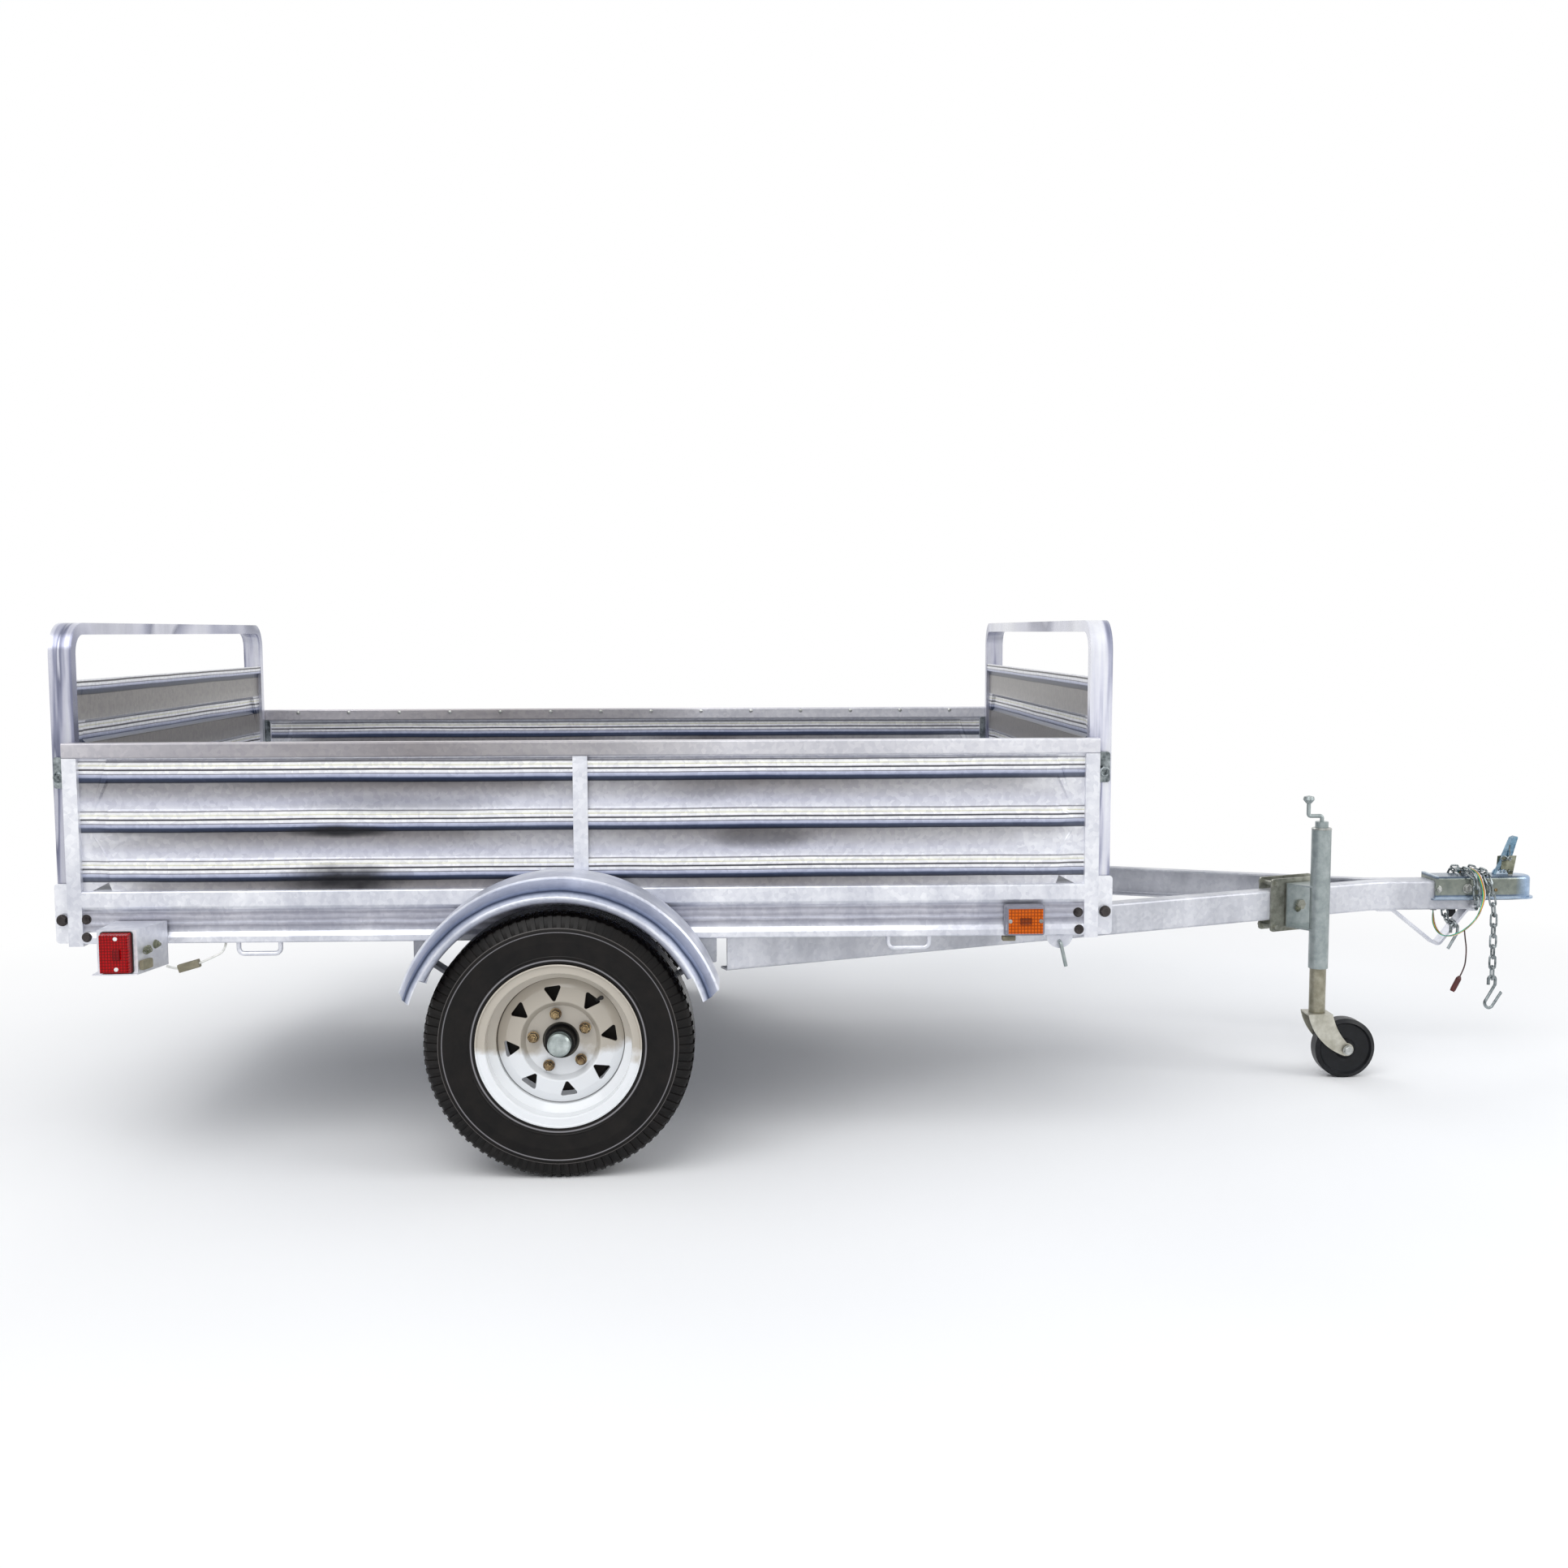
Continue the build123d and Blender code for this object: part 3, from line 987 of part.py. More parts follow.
def save_wiring():
    """Lamp harness over the coupler with its grommet and plug, and the short earth lead with its plug"""
    save(cord("harness", HARNESS_R, HARNESS_ROUTE), "wiring_harness")
    save(cord("earth lead", LEAD_R, LEAD_ROUTE), "wiring_lead")
    save(both_sides(cord("lamp lead", LAMP_LEAD_R, LAMP_ROUTE)), "lamp_leads")

    x, y, z = HARNESS_ROUTE[0]
    with BuildPart() as grommet:
        with BuildSketch(Plane.XY.offset(BEAM_Z0 - SEAT)):
            with Locations((AXLE_X + x, y)):
                Circle(GROMMET_R)
        extrude(amount=-(BEAM_Z0 - SEAT - z), taper=LENS_DRAFT)
    save(grommet.part, "harness_grommet")

    tail, neck = (Vector(AXLE_X + x, y, z) for x, y, z in HARNESS_ROUTE[-2:])
    with BuildPart() as plug:
        with BuildSketch(Plane(origin=neck, x_dir=(1, 0, 0), z_dir=neck - tail)):
            RectangleRounded(PLUG_WIDTH, PLUG_THICK, PLUG_THICK / 4)
        extrude(amount=PLUG_LENGTH)
    save(plug.part, "harness_plug")

    tail, neck = (Vector(AXLE_X + x, y, z) for x, y, z in LEAD_ROUTE[-2:])
    end = (neck - tail).normalized()
    with BuildPart() as bullet:
        with BuildSketch(Plane(origin=neck, x_dir=end, z_dir=(0, 1, 0))):
            with BuildLine():
                Polyline((0, 0), (0, BULLET_R / 2), (BULLET_R, BULLET_R),
                         (BULLET_LENGTH - BULLET_R, BULLET_R), (BULLET_LENGTH, BULLET_R * 0.8),
                         (BULLET_LENGTH, 0), close=True)
            make_face()
        revolve(axis=Axis(neck, end))
    save(bullet.part, "wiring_plug")

    rear, front = (Vector(AXLE_X + x, y, z) for x, y, z in LAMP_ROUTE[1:4:2])
    with BuildPart() as connector:
        with BuildSketch(Plane(origin=rear + (front - rear) * 0.1, z_dir=front - rear)):
            RectangleRounded(CONNECTOR_THICK, CONNECTOR_THICK, CONNECTOR_THICK / 5)
        extrude(amount=(front - rear).length * 0.8)
    save(both_sides(connector.part), "lamp_connectors")


def jack_frame(x=0.0, y=0.0, z=0.0):
    """A level plane at the jack's post: x forwards along the right-hand beam, y towards the beam"""
    turn = math.radians(TONGUE_ANGLE)
    along = Vector(math.cos(turn), math.sin(turn), 0)
    towards = Vector(-math.sin(turn), math.cos(turn), 0)
    origin = Vector(AXLE_X + JACK_X, JACK_Y, 0) + along * x + towards * y + Vector(0, 0, z)
    return Plane(origin=origin, x_dir=along, z_dir=(0, 0, 1))


def jack_face(y, z):
    """An upright plane parallel to the beam's face, facing outwards, y away from the post"""
    level = jack_frame(0, y, z)
    return Plane(origin=level.origin, x_dir=level.x_dir, z_dir=-level.y_dir)


def save_jack():
    """Clamp on the beam, swivelling post with its crank, sliding leg, caster fork and wheel"""
    bend = Vector(AXLE_X + BEAM_BEND_X, -BEAM_WIDTH, 0)
    post = jack_frame()
    to_beam = (bend - post.origin).dot(post.y_dir)
    middle_z = BEAM_Z0 + BEAM_HEIGHT / 2
    clamp_y = to_beam - SEAT - CLAMP_PLATE
    back_y = to_beam + BEAM_WIDTH + SEAT
    with BuildPart() as clamp:
        for y in (clamp_y, back_y):
            with BuildSketch(jack_face(y + CLAMP_PLATE, middle_z)):
                RectangleRounded(CLAMP_LENGTH, CLAMP_HEIGHT, CLAMP_ROUND)
            extrude(amount=CLAMP_PLATE)
        with BuildSketch(jack_face(back_y + CLAMP_PLATE + CLAMP_BOLT_OUT, middle_z)):
            with GridLocations(CLAMP_LENGTH - 2 * CLAMP_BOLT_EDGE, CLAMP_HEIGHT - 2 * CLAMP_BOLT_EDGE, 2, 2):
                Circle(CLAMP_BOLT_R)
        extrude(amount=back_y - clamp_y + CLAMP_PLATE + 2 * CLAMP_BOLT_OUT)
        with BuildSketch(jack_face(clamp_y, middle_z)):
            Circle(2 * SWIVEL_BOLT_R)
        extrude(amount=SWIVEL_GAP - FIT)
        with BuildSketch(jack_face(clamp_y, middle_z)):
            Circle(SWIVEL_BOLT_R)
        extrude(amount=SWIVEL_GAP + SWIVEL_PLATE + FIT + NUT_HEIGHT)
        with BuildSketch(jack_face(clamp_y - SWIVEL_GAP - SWIVEL_PLATE - FIT, middle_z)):
            RegularPolygon(SWIVEL_BOLT_R * 1.7, 6)
        extrude(amount=NUT_HEIGHT)
    save(clamp.part, "jack_clamp")

    web_y = clamp_y - SWIVEL_GAP
    with BuildPart() as tube:
        with BuildSketch(jack_face(web_y, middle_z)):
            RectangleRounded(SWIVEL_LENGTH, SWIVEL_HEIGHT, SWIVEL_PLATE)
            Circle(SWIVEL_BOLT_R + FIT, mode=Mode.SUBTRACT)
        extrude(amount=SWIVEL_PLATE)
        for z in (middle_z + SWIVEL_HEIGHT / 2 - SWIVEL_PLATE, middle_z - SWIVEL_HEIGHT / 2):
            with BuildSketch(jack_frame(0, 0, z)):
                Polygon((-JACK_R, 0), (JACK_R, 0), (SWIVEL_LENGTH / 2, web_y), (-SWIVEL_LENGTH / 2, web_y),
                        align=None)
            extrude(amount=SWIVEL_PLATE)
        with BuildSketch(jack_frame(0, 0, JACK_FOOT_Z)):
            Circle(JACK_R)
        extrude(amount=JACK_TOP_Z - JACK_FOOT_Z)
        with BuildSketch(jack_frame(0, 0, JACK_TOP_Z)):
            Circle(NECK_R)
        extrude(amount=NECK_HEIGHT)
        with BuildSketch(jack_frame(0, 0, JACK_FOOT_Z)):
            Circle(LEG_R + FIT)
        extrude(amount=JACK_TOP_Z - JACK_FOOT_Z - JACK_CAP, mode=Mode.SUBTRACT)
    save(tube.part, "jack_tube")

    post_x, post_y = AXLE_X + JACK_X, JACK_Y
    knob_x, arm_z = post_x - KNOB_OFFSET, NECK_TOP_Z + CRANK_RISE
    with BuildPart() as crank:
        with BuildLine():
            FilletPolyline((post_x, post_y, NECK_TOP_Z), (post_x, post_y, arm_z), (knob_x, post_y, arm_z),
                           (knob_x, post_y, KNOB_Z), radius=CRANK_BEND)
        with BuildSketch(Plane.XY.offset(NECK_TOP_Z)):
            with Locations((post_x, post_y)):
                Circle(CRANK_R)
        sweep()
        with BuildSketch(Plane(origin=(knob_x, post_y, KNOB_Z), x_dir=(1, 0, 0), z_dir=(0, -1, 0))):
            with BuildLine():
                Polyline((0, -KNOB_R), (CRANK_R + 2, -KNOB_R), (KNOB_R, -KNOB_HALF),
                         (KNOB_R - 2, KNOB_HALF / 2), (0, KNOB_HALF), close=True)
            make_face()
        revolve(axis=Axis((knob_x, post_y, 0), (0, 0, 1)))
    save(crank.part, "jack_crank")

    with BuildPart() as leg:
        with BuildSketch(jack_frame(0, 0, LEG_FOOT_Z)):
            Circle(LEG_R)
            Circle(LEG_R - LEG_WALL, mode=Mode.SUBTRACT)
        extrude(amount=LEG_TOP_Z - LEG_FOOT_Z)
        with BuildSketch(jack_frame(0, 0, LEG_FOOT_Z)):
            Circle(LEG_R)
        extrude(amount=LEG_PLUG)
        with BuildSketch(jack_frame(0, 0, LEG_FOOT_Z - CASTER_PIN_LENGTH)):
            Circle(CASTER_PIN_R)
        extrude(amount=CASTER_PIN_LENGTH)
    save(leg.part, "jack_leg")

    crown_z = LEG_FOOT_Z - FIT
    inner = CASTER_WIDTH / 2 + FORK_GAP
    wheel_x = post_x + CASTER_TRAIL
    rear_x, front_x = post_x - FORK_CROWN, post_x + FORK_CROWN
    eye_x = wheel_x - CASTER_BOLT_R
    with BuildPart() as fork:
        with BuildSketch(Plane.XY.offset(crown_z)):
            with Locations((post_x, post_y)):
                RectangleRounded(2 * FORK_CROWN, 2 * (inner + FORK_WALL), CLAMP_ROUND)
                Circle(CASTER_PIN_R + FIT, mode=Mode.SUBTRACT)
        extrude(amount=-FORK_WALL)
        for side in (-1, 1):
            with BuildSketch(Plane.XZ.offset(-post_y - side * (inner + FORK_WALL / 2))):
                with BuildLine():
                    Polyline((wheel_x, CASTER_R - FORK_EYE), (eye_x, CASTER_R - FORK_EYE))
                    RadiusArc((eye_x, CASTER_R - FORK_EYE), (rear_x, crown_z - FORK_WALL), FORK_REAR_R)
                    Polyline((rear_x, crown_z - FORK_WALL), (rear_x, crown_z), (front_x, crown_z))
                    RadiusArc((front_x, crown_z), (wheel_x, CASTER_R + FORK_EYE), -FORK_FRONT_R)
                    RadiusArc((wheel_x, CASTER_R + FORK_EYE), (wheel_x, CASTER_R - FORK_EYE), FORK_EYE)
                make_face()
            extrude(amount=FORK_WALL / 2, both=True)
        with BuildSketch(Plane.XZ.offset(-post_y - inner - FORK_WALL - CASTER_BOLT_R)):
            with Locations((wheel_x, CASTER_R)):
                Circle(CASTER_BOLT_R)
        extrude(amount=2 * (inner + FORK_WALL + CASTER_BOLT_R))
    save(fork.part, "caster_fork")

    half, bore = CASTER_WIDTH / 2, CASTER_BOLT_R + FIT
    web, tread = half - CASTER_RELIEF, CASTER_R - CASTER_TREAD
    # (distance from the wheel's middle plane, radius), from the bore out to the tread
    side_line = [(half, bore), (half, CASTER_HUB_R), (web, CASTER_HUB_R + 4), (web, tread), (half, tread + 4),
                 (web, CASTER_R)]
    with BuildPart() as wheel:
        with BuildSketch(Plane(origin=(wheel_x, post_y, CASTER_R), x_dir=(0, 1, 0), z_dir=(1, 0, 0))):
            with BuildLine():
                Polyline(*side_line, *[(-y, r) for y, r in reversed(side_line)], close=True)
            make_face()
        revolve(axis=Axis((wheel_x, post_y, CASTER_R), (0, 1, 0)))
    save(wheel.part, "caster_wheel")


def save_lamps():
    """Red tail lamps in folded box brackets, amber side markers, and the gaskets behind them"""
    x0 = AXLE_X + TAIL_LAMP_X - TAIL_LAMP_WIDTH / 2 - LAMP_BOX_EDGE
    x1 = AXLE_X + TAIL_LAMP_X + TAIL_LAMP_WIDTH / 2 + LAMP_BOX_EDGE
    foot_z = TAIL_LAMP_Z - TAIL_LAMP_HEIGHT / 2 - LAMP_BOX_EDGE / 2
    root, face = BED_HALF + SEAT, LAMP_FACE_Y - SEAT
    with BuildPart() as brackets:
        with BuildSketch(Plane.XY.offset(foot_z)):
            Polygon((x0, root), (x0, face), (x1, face), (x1 + LAMP_BOX_SPLAY, root), align=None)
        extrude(amount=TAIL_LAMP_HEIGHT + LAMP_BOX_EDGE)
        offset(amount=-LAMP_BOX_WALL, openings=brackets.faces().sort_by(Axis.Y)[0])
        with BuildSketch(Plane.XY.offset(foot_z)):
            Polygon((x0 - LAMP_LIP, face - 3 * LAMP_LIP), (x0 - LAMP_LIP, face + LAMP_LIP),
                    (x1, face + LAMP_LIP / 2), (x1, face - LAMP_LIP), (x0, face - 3 * LAMP_LIP), align=None)
        extrude(amount=LAMP_BOX_WALL)
    save(both_sides(brackets.part), "tail_lamp_brackets")

    lamps = (("tail_lamps", TAIL_LAMP_X, TAIL_LAMP_Z, LAMP_FACE_Y, TAIL_LAMP_WIDTH, TAIL_LAMP_HEIGHT,
              TAIL_LAMP_DEPTH),
             ("side_markers", MARKER_X, MARKER_Z, BED_HALF + SEAT, MARKER_WIDTH, MARKER_HEIGHT, MARKER_DEPTH))
    for name, x, z, y, width, height, depth in lamps:
        with BuildPart() as gaskets:
            with BuildSketch(Plane.XZ.offset(-y)):
                with Locations((AXLE_X + x, z)):
                    RectangleRounded(width, height, LENS_ROUND)
                offset(amount=GASKET_EDGE)
            extrude(amount=-GASKET)
        save(both_sides(gaskets.part), f"{name}_gaskets")
        with BuildPart() as lenses:
            with BuildSketch(Plane.XZ.offset(-y - GASKET)):
                with Locations((AXLE_X + x, z)):
                    RectangleRounded(width, height, LENS_ROUND)
            extrude(amount=-(depth - GASKET), taper=LENS_DRAFT)
        save(both_sides(lenses.part), name)


def save_rope_hooks():
    """Rope hooks of bent rod under the side rails"""
    low = FRAME_Z - HOOK_DROP + HOOK_ROD_R
    y = BED_HALF - HOOK_INSET
    with BuildPart() as hooks:
        for x in (AXLE_X + HOOK_REAR_X, AXLE_X + HOOK_FRONT_X):
            rear, front = x - HOOK_SPAN / 2, x + HOOK_SPAN / 2
            with BuildLine():
                FilletPolyline((rear, y, FRAME_Z), (rear, y, low), (front, y, low), (front, y, FRAME_Z),
                               radius=HOOK_BEND)
            with BuildSketch(Plane.XY.offset(FRAME_Z)):
                with Locations((rear, y)):
                    Circle(HOOK_ROD_R)
            sweep()
    save(both_sides(hooks.part), "rope_hooks")


def save_pin_tabs():
    """Half-round tabs under the side rails, each with a bent pin through its hole"""
    x, y = AXLE_X + TAB_X, BED_HALF - TAB_INSET
    with BuildPart() as tabs:
        with BuildSketch(Plane.XZ.offset(-y)):
            with Locations((x, FRAME_Z)):
                Circle(TAB_R)
                Rectangle(2 * TAB_R, TAB_R, align=(Align.CENTER, Align.MIN), mode=Mode.SUBTRACT)
            with Locations((x, FRAME_Z - TAB_R / 2)):
                Circle(TAB_PIN_R + FIT, mode=Mode.SUBTRACT)
        extrude(amount=TAB_PLATE)
    save(both_sides(tabs.part), "pin_tabs")
    inner = y - TAB_PLATE - TAB_PIN_OUT
    pin_z = FRAME_Z - TAB_R / 2
    with BuildPart() as pins:
        with BuildLine():
            FilletPolyline((x, inner, pin_z), (x, y + TAB_PIN_OUT, pin_z),
                           (x + TAB_PIN_OUT, y + TAB_PIN_OUT, pin_z - TAB_PIN_DROP), radius=TAB_PIN_R + 2)
        with BuildSketch(Plane(origin=(x, inner, pin_z), z_dir=(0, 1, 0))):
            Circle(TAB_PIN_R)
        sweep()
    save(both_sides(pins.part), "tab_pins")


save_frame()
save_sides()
save_gate("rear", -1, BED_X0)
save_gate("front", 1, BED_X1)
save_gate_brackets()
save_fenders()
save_wheels()
save_axle()
save_tongue()
save_coupler()
save_skid()
save_chains()
save_wiring()
save_jack()
save_lamps()
save_rope_hooks()
save_pin_tabs()
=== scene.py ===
# %% [markdown]
# # A galvanised utility trailer
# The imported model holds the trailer's real shapes: ribbed sides, gates, tongue, wheels and jack. This
# scene gives every piece its finish, swaps the plain tyres, chains and leads for detailed ones, and adds
# the fasteners and small fittings. Everything is in metres: X runs to the coupler, Y to the trailer's
# left, Z up.

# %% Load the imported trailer
import math

import bmesh
import bpy
from mathutils import Matrix, Vector

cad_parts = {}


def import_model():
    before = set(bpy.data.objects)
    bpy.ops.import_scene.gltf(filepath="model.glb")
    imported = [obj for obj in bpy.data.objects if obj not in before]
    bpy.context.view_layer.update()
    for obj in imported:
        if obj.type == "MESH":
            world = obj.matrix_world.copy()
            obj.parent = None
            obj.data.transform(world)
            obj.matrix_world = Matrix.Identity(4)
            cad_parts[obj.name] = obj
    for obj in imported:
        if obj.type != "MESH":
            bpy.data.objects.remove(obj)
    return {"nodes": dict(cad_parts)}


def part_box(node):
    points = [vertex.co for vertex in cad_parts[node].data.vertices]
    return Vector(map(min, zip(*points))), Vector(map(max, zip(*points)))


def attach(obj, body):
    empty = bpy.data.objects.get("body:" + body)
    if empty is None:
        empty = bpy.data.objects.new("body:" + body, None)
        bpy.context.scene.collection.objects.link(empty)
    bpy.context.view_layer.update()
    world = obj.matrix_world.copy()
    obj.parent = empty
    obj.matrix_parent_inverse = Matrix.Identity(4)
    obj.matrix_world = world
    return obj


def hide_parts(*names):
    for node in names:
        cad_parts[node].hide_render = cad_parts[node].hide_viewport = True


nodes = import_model()["nodes"]
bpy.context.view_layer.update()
MM = 0.001

# %% [markdown]
# ## Where things are
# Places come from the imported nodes, so that added pieces sit on them. A node's box gives its lowest and
# highest corners, and a wheel's middle is the middle of its tyre's box.


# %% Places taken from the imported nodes
def middle(node):
    """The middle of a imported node's box"""
    low, high = (Vector(corner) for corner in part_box(node))
    return (low + high) / 2


def low_of(node, axis):
    """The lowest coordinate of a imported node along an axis"""
    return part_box(node)[0]["xyz".index(axis)]


def high_of(node, axis):
    """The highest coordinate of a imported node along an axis"""
    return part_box(node)[1]["xyz".index(axis)]


AXLE = middle("tyre_right")
AXLE_X, HUB_Z = AXLE.x, AXLE.z
FRAME_Z = low_of("side_rail_left", "z")
SIDE_TOP_Z = high_of("top_rail_left", "z")
TYRE_R = AXLE.z - low_of("tyre_right", "z")
SIDES = (("left", 1), ("right", -1))


def at(x, y, z):
    """A place from millimetres, with x from the axle"""
    return Vector((AXLE_X + x * MM, y * MM, z * MM))


print("axle", round(AXLE_X, 4), "frame", round(FRAME_Z, 3), "tyre radius", round(TYRE_R, 3))

# %% [markdown]
# ## The camera
# The trailer is seen from its right side, from 1.1 m above the ground and 4.2 m off its middle, nearly
# square to the side and tipped down by five degrees. The camera's place is given from the axle. Its turn,
# tip and roll are small angles, from which its three axes are worked out.

# %% The camera
EYE = Vector((AXLE_X + 0.3448, -4.2428, 1.1184))
FOCAL_PIXELS = 2034.27
IMAGE_PIXELS = 1932
SENSOR_MM = 36
TURN, TIP, ROLL = -0.0351, 0.0921, -0.0028

ahead = Vector((-math.sin(TURN) * math.cos(TIP), math.cos(TURN) * math.cos(TIP), -math.sin(TIP)))
level = Vector((math.cos(TURN), math.sin(TURN), 0))
upright = level.cross(ahead)
right = level * math.cos(ROLL) + upright * math.sin(ROLL)
up = upright * math.cos(ROLL) - level * math.sin(ROLL)

bpy.ops.object.camera_add(location=EYE)
camera = bpy.context.object
camera.name = "camera"
camera.matrix_world = Matrix.Translation(EYE) @ Matrix((right, up, -ahead)).transposed().to_4x4()
camera.data.sensor_width = SENSOR_MM
camera.data.lens = FOCAL_PIXELS / IMAGE_PIXELS * SENSOR_MM
camera.data.clip_end = 200
bpy.context.scene.camera = camera
print("lens", round(camera.data.lens, 2), "mm")

# %% [markdown]
# ## Materials: how a finish is put together
# Colours are written as hex codes, as a colour picker gives them, and turned into the linear values that
# shaders work with. One function adds a node with its settings and links and hands back one of its
# outputs, so that a finish reads as a list of steps. Patterns read Object coordinates, which are metres
# in the trailer's own frame, so one pattern runs on over neighbouring pieces.


# %% Helpers for materials
def linear(hex_code):
    """The linear colour of an sRGB hex code"""
    channels = [int(hex_code[i:i + 2], 16) / 255 for i in (0, 2, 4)]
    return [c / 12.92 if c <= 0.04045 else ((c + 0.055) / 1.055) ** 2.4 for c in channels] + [1.0]


def feed(tree, node, inputs):
    """Gives a node its inputs: a value is set, and another node's output is linked"""
    for name, value in inputs.items():
        if isinstance(value, bpy.types.NodeSocket):
            tree.links.new(value, node.inputs[name])
        else:
            node.inputs[name].default_value = value


def add_node(tree, kind, inputs, output=0, stops=(), **settings):
    """Adds a shader node and returns one of its outputs; a ramp also takes (place, hex colour) stops"""
    made = tree.nodes.new("ShaderNode" + kind)
    for name, value in settings.items():
        setattr(made, name, value)
    feed(tree, made, inputs)
    if stops:
        elements = made.color_ramp.elements
        elements[0].position, elements[0].color = stops[0][0], linear(stops[0][1])
        elements[1].position, elements[1].color = stops[-1][0], linear(stops[-1][1])
        for place, colour in stops[1:-1]:
            elements.new(place).color = linear(colour)
    return made.outputs[output]


def new_material(name):
    """A new material; returns it with its tree, its shader and its Object coordinates"""
    made = bpy.data.materials.new(name)
    made.use_nodes = True
    tree = made.node_tree
    return made, tree, tree.nodes["Principled BSDF"], add_node(tree, "TexCoord", {}, "Object")


# a colour mix has its factor at input 0, its two colours at inputs 6 and 7, and its result at output 2
OVER = {"output": 2, "data_type": "RGBA"}
TIMES = {**OVER, "blend_type": "MULTIPLY"}


def from_axle(tree, place):
    """Distance from the wheels' axle, square to it"""
    off = add_node(tree, "Mapping", {"Vector": place, "Scale": (1, 0, 1), "Location": (-AXLE_X, 0, -HUB_Z)})
    return add_node(tree, "VectorMath", {0: off}, "Value", operation="LENGTH")


def wavering(tree, place, value, size, detail, height, drawn=(1, 1, 1), roughness=0.5):
    """A value that noise with patches of about `size` lifts by 0 to `height`, so that its edges waver"""
    run = add_node(tree, "Mapping", {"Vector": place, "Scale": drawn})
    noise = add_node(tree, "TexNoise", {"Vector": run, "Scale": 1 / size, "Detail": detail,
                                        "Roughness": roughness})
    return add_node(tree, "Math", {0: noise, 1: height, 2: value}, operation="MULTIPLY_ADD")


def banded(tree, value, low, high, stops):
    """Colours along a value, from the first stop at `low` to the last at `high`"""
    share = add_node(tree, "MapRange", {"Value": value, "From Min": low, "From Max": high})
    return add_node(tree, "ValToRGB", {"Fac": share}, stops=stops)


# %% [markdown]
# ## Hot-dip galvanised sheet and tube
# The whole trailer is dipped in molten zinc. The coat is bright and nearly white where it faces the sky,
# with zinc crystals a centimetre across, pale smears where it drained, and small pits. It is a metal of
# middling roughness. The crystals are a Voronoi pattern, the smears a noise that is stretched downwards,
# because the zinc ran down as the frame was lifted from the bath.

# %% Galvanised steel
SPANGLE = 9 * MM  # across one zinc crystal
SMEAR = 160 * MM  # between the pale smears
PIT = 2.2 * MM  # coarser than real pits, which are too fine to show
PIT_DEPTH = 0.4 * MM
FLAKE_ROUGH = 0.16  # how much rougher one crystal can be than the next, where the flakes are full


def galvanised(name, bright, dull, metallic=0.55, roughness=0.36, drawn=(1, 1, 0.45), tint=None, flakes=0.6):
    """Galvanised steel from bright to dull; tint(tree, place), painted reflection and shade, is multiplied
    over it
    """
    made, tree, shader, place = new_material(name)
    crystals = add_node(tree, "TexVoronoi", {"Vector": place, "Scale": 1 / SPANGLE}, "Color")
    grain = add_node(tree, "SeparateColor", {"Color": crystals})
    run = add_node(tree, "Mapping", {"Vector": place, "Scale": drawn})
    smears = add_node(tree, "TexNoise", {"Vector": run, "Scale": 1 / SMEAR, "Detail": 6, "Roughness": 0.62})
    base = add_node(tree, "ValToRGB", {"Fac": smears}, stops=((0.36, dull), (0.62, bright)))
    shade = add_node(tree, "ValToRGB", {"Fac": grain}, stops=((0.0, "e2e3e8"), (1.0, "ffffff")))
    coat = add_node(tree, "Mix", {0: flakes, 6: base, 7: shade}, **TIMES)
    if tint:
        coat = add_node(tree, "Mix", {0: 1, 6: coat, 7: tint(tree, place)}, **TIMES)
    uneven = FLAKE_ROUGH * flakes
    rough = add_node(tree, "Math", {0: grain, 1: uneven, 2: roughness - uneven / 2},
                     operation="MULTIPLY_ADD")
    pits = add_node(tree, "TexNoise", {"Vector": place, "Scale": 1 / PIT})
    dents = add_node(tree, "Bump", {"Height": pits, "Strength": 0.2 * flakes, "Distance": PIT_DEPTH})
    feed(tree, shader, {"Base Color": coat, "Roughness": rough, "Metallic": metallic, "Normal": dents})
    return made


# %% [markdown]
# ## What the zinc mirrors
# Smooth zinc is half a mirror, so a rail, a tube or a pressed crease shows long bands of its surroundings. A
# plain studio has nothing to mirror, so each band is painted into the colour as a reflection along the
# piece, with a wavering edge, and multiplied over the zinc. The fender's lip also gets painted shade.


# %% Painted reflections and shade of the rails, fenders and tubes
def rail_tint(tree, place):
    """Painted reflection: the top rails are brown-grey from the rear to past the wheels and pale towards the
    tongue
    """
    along = add_node(tree, "SeparateXYZ", {"Vector": place}, "X")
    along = wavering(tree, place, along, 300 * MM, 3, 0.5, (1, 1, 0.2))
    return banded(tree, along, AXLE_X - 0.9, AXLE_X + 1.4,
                  ((0.0, "d9d6d8"), (0.2, "c2bebf"), (0.36, "aaa5a4"), (0.52, "bebbbb"), (0.66, "e2e1e3"),
                   (1.0, "f8f8fa")))


def crease_tint(tree, place):
    """Painted reflection and shade: deep blue-grey along the fender's crease, white above and below it, and
    painted shade darkening the skirt's lip
    """
    radius = wavering(tree, place, from_axle(tree, place), 70 * MM, 4, 5 * MM)
    # painted shade at the lowest radii, the skirt's lip, and a painted reflection band along the crease
    return banded(tree, radius, FENDER_R - 50 * MM, FENDER_R + 4 * MM,
                  ((0.0, "26262b"), (0.12, "5f5f68"), (0.22, "d3d6e0"), (0.34, "ffffff"), (0.46, "c6ccdb"),
                   (0.535, "4a5670"), (0.565, "28324a"), (0.60, "6c7894"), (0.70, "a2aac0"),
                   (0.86, "d5d9e5"), (0.95, "ffffff"), (1.0, "e6e8ef")))


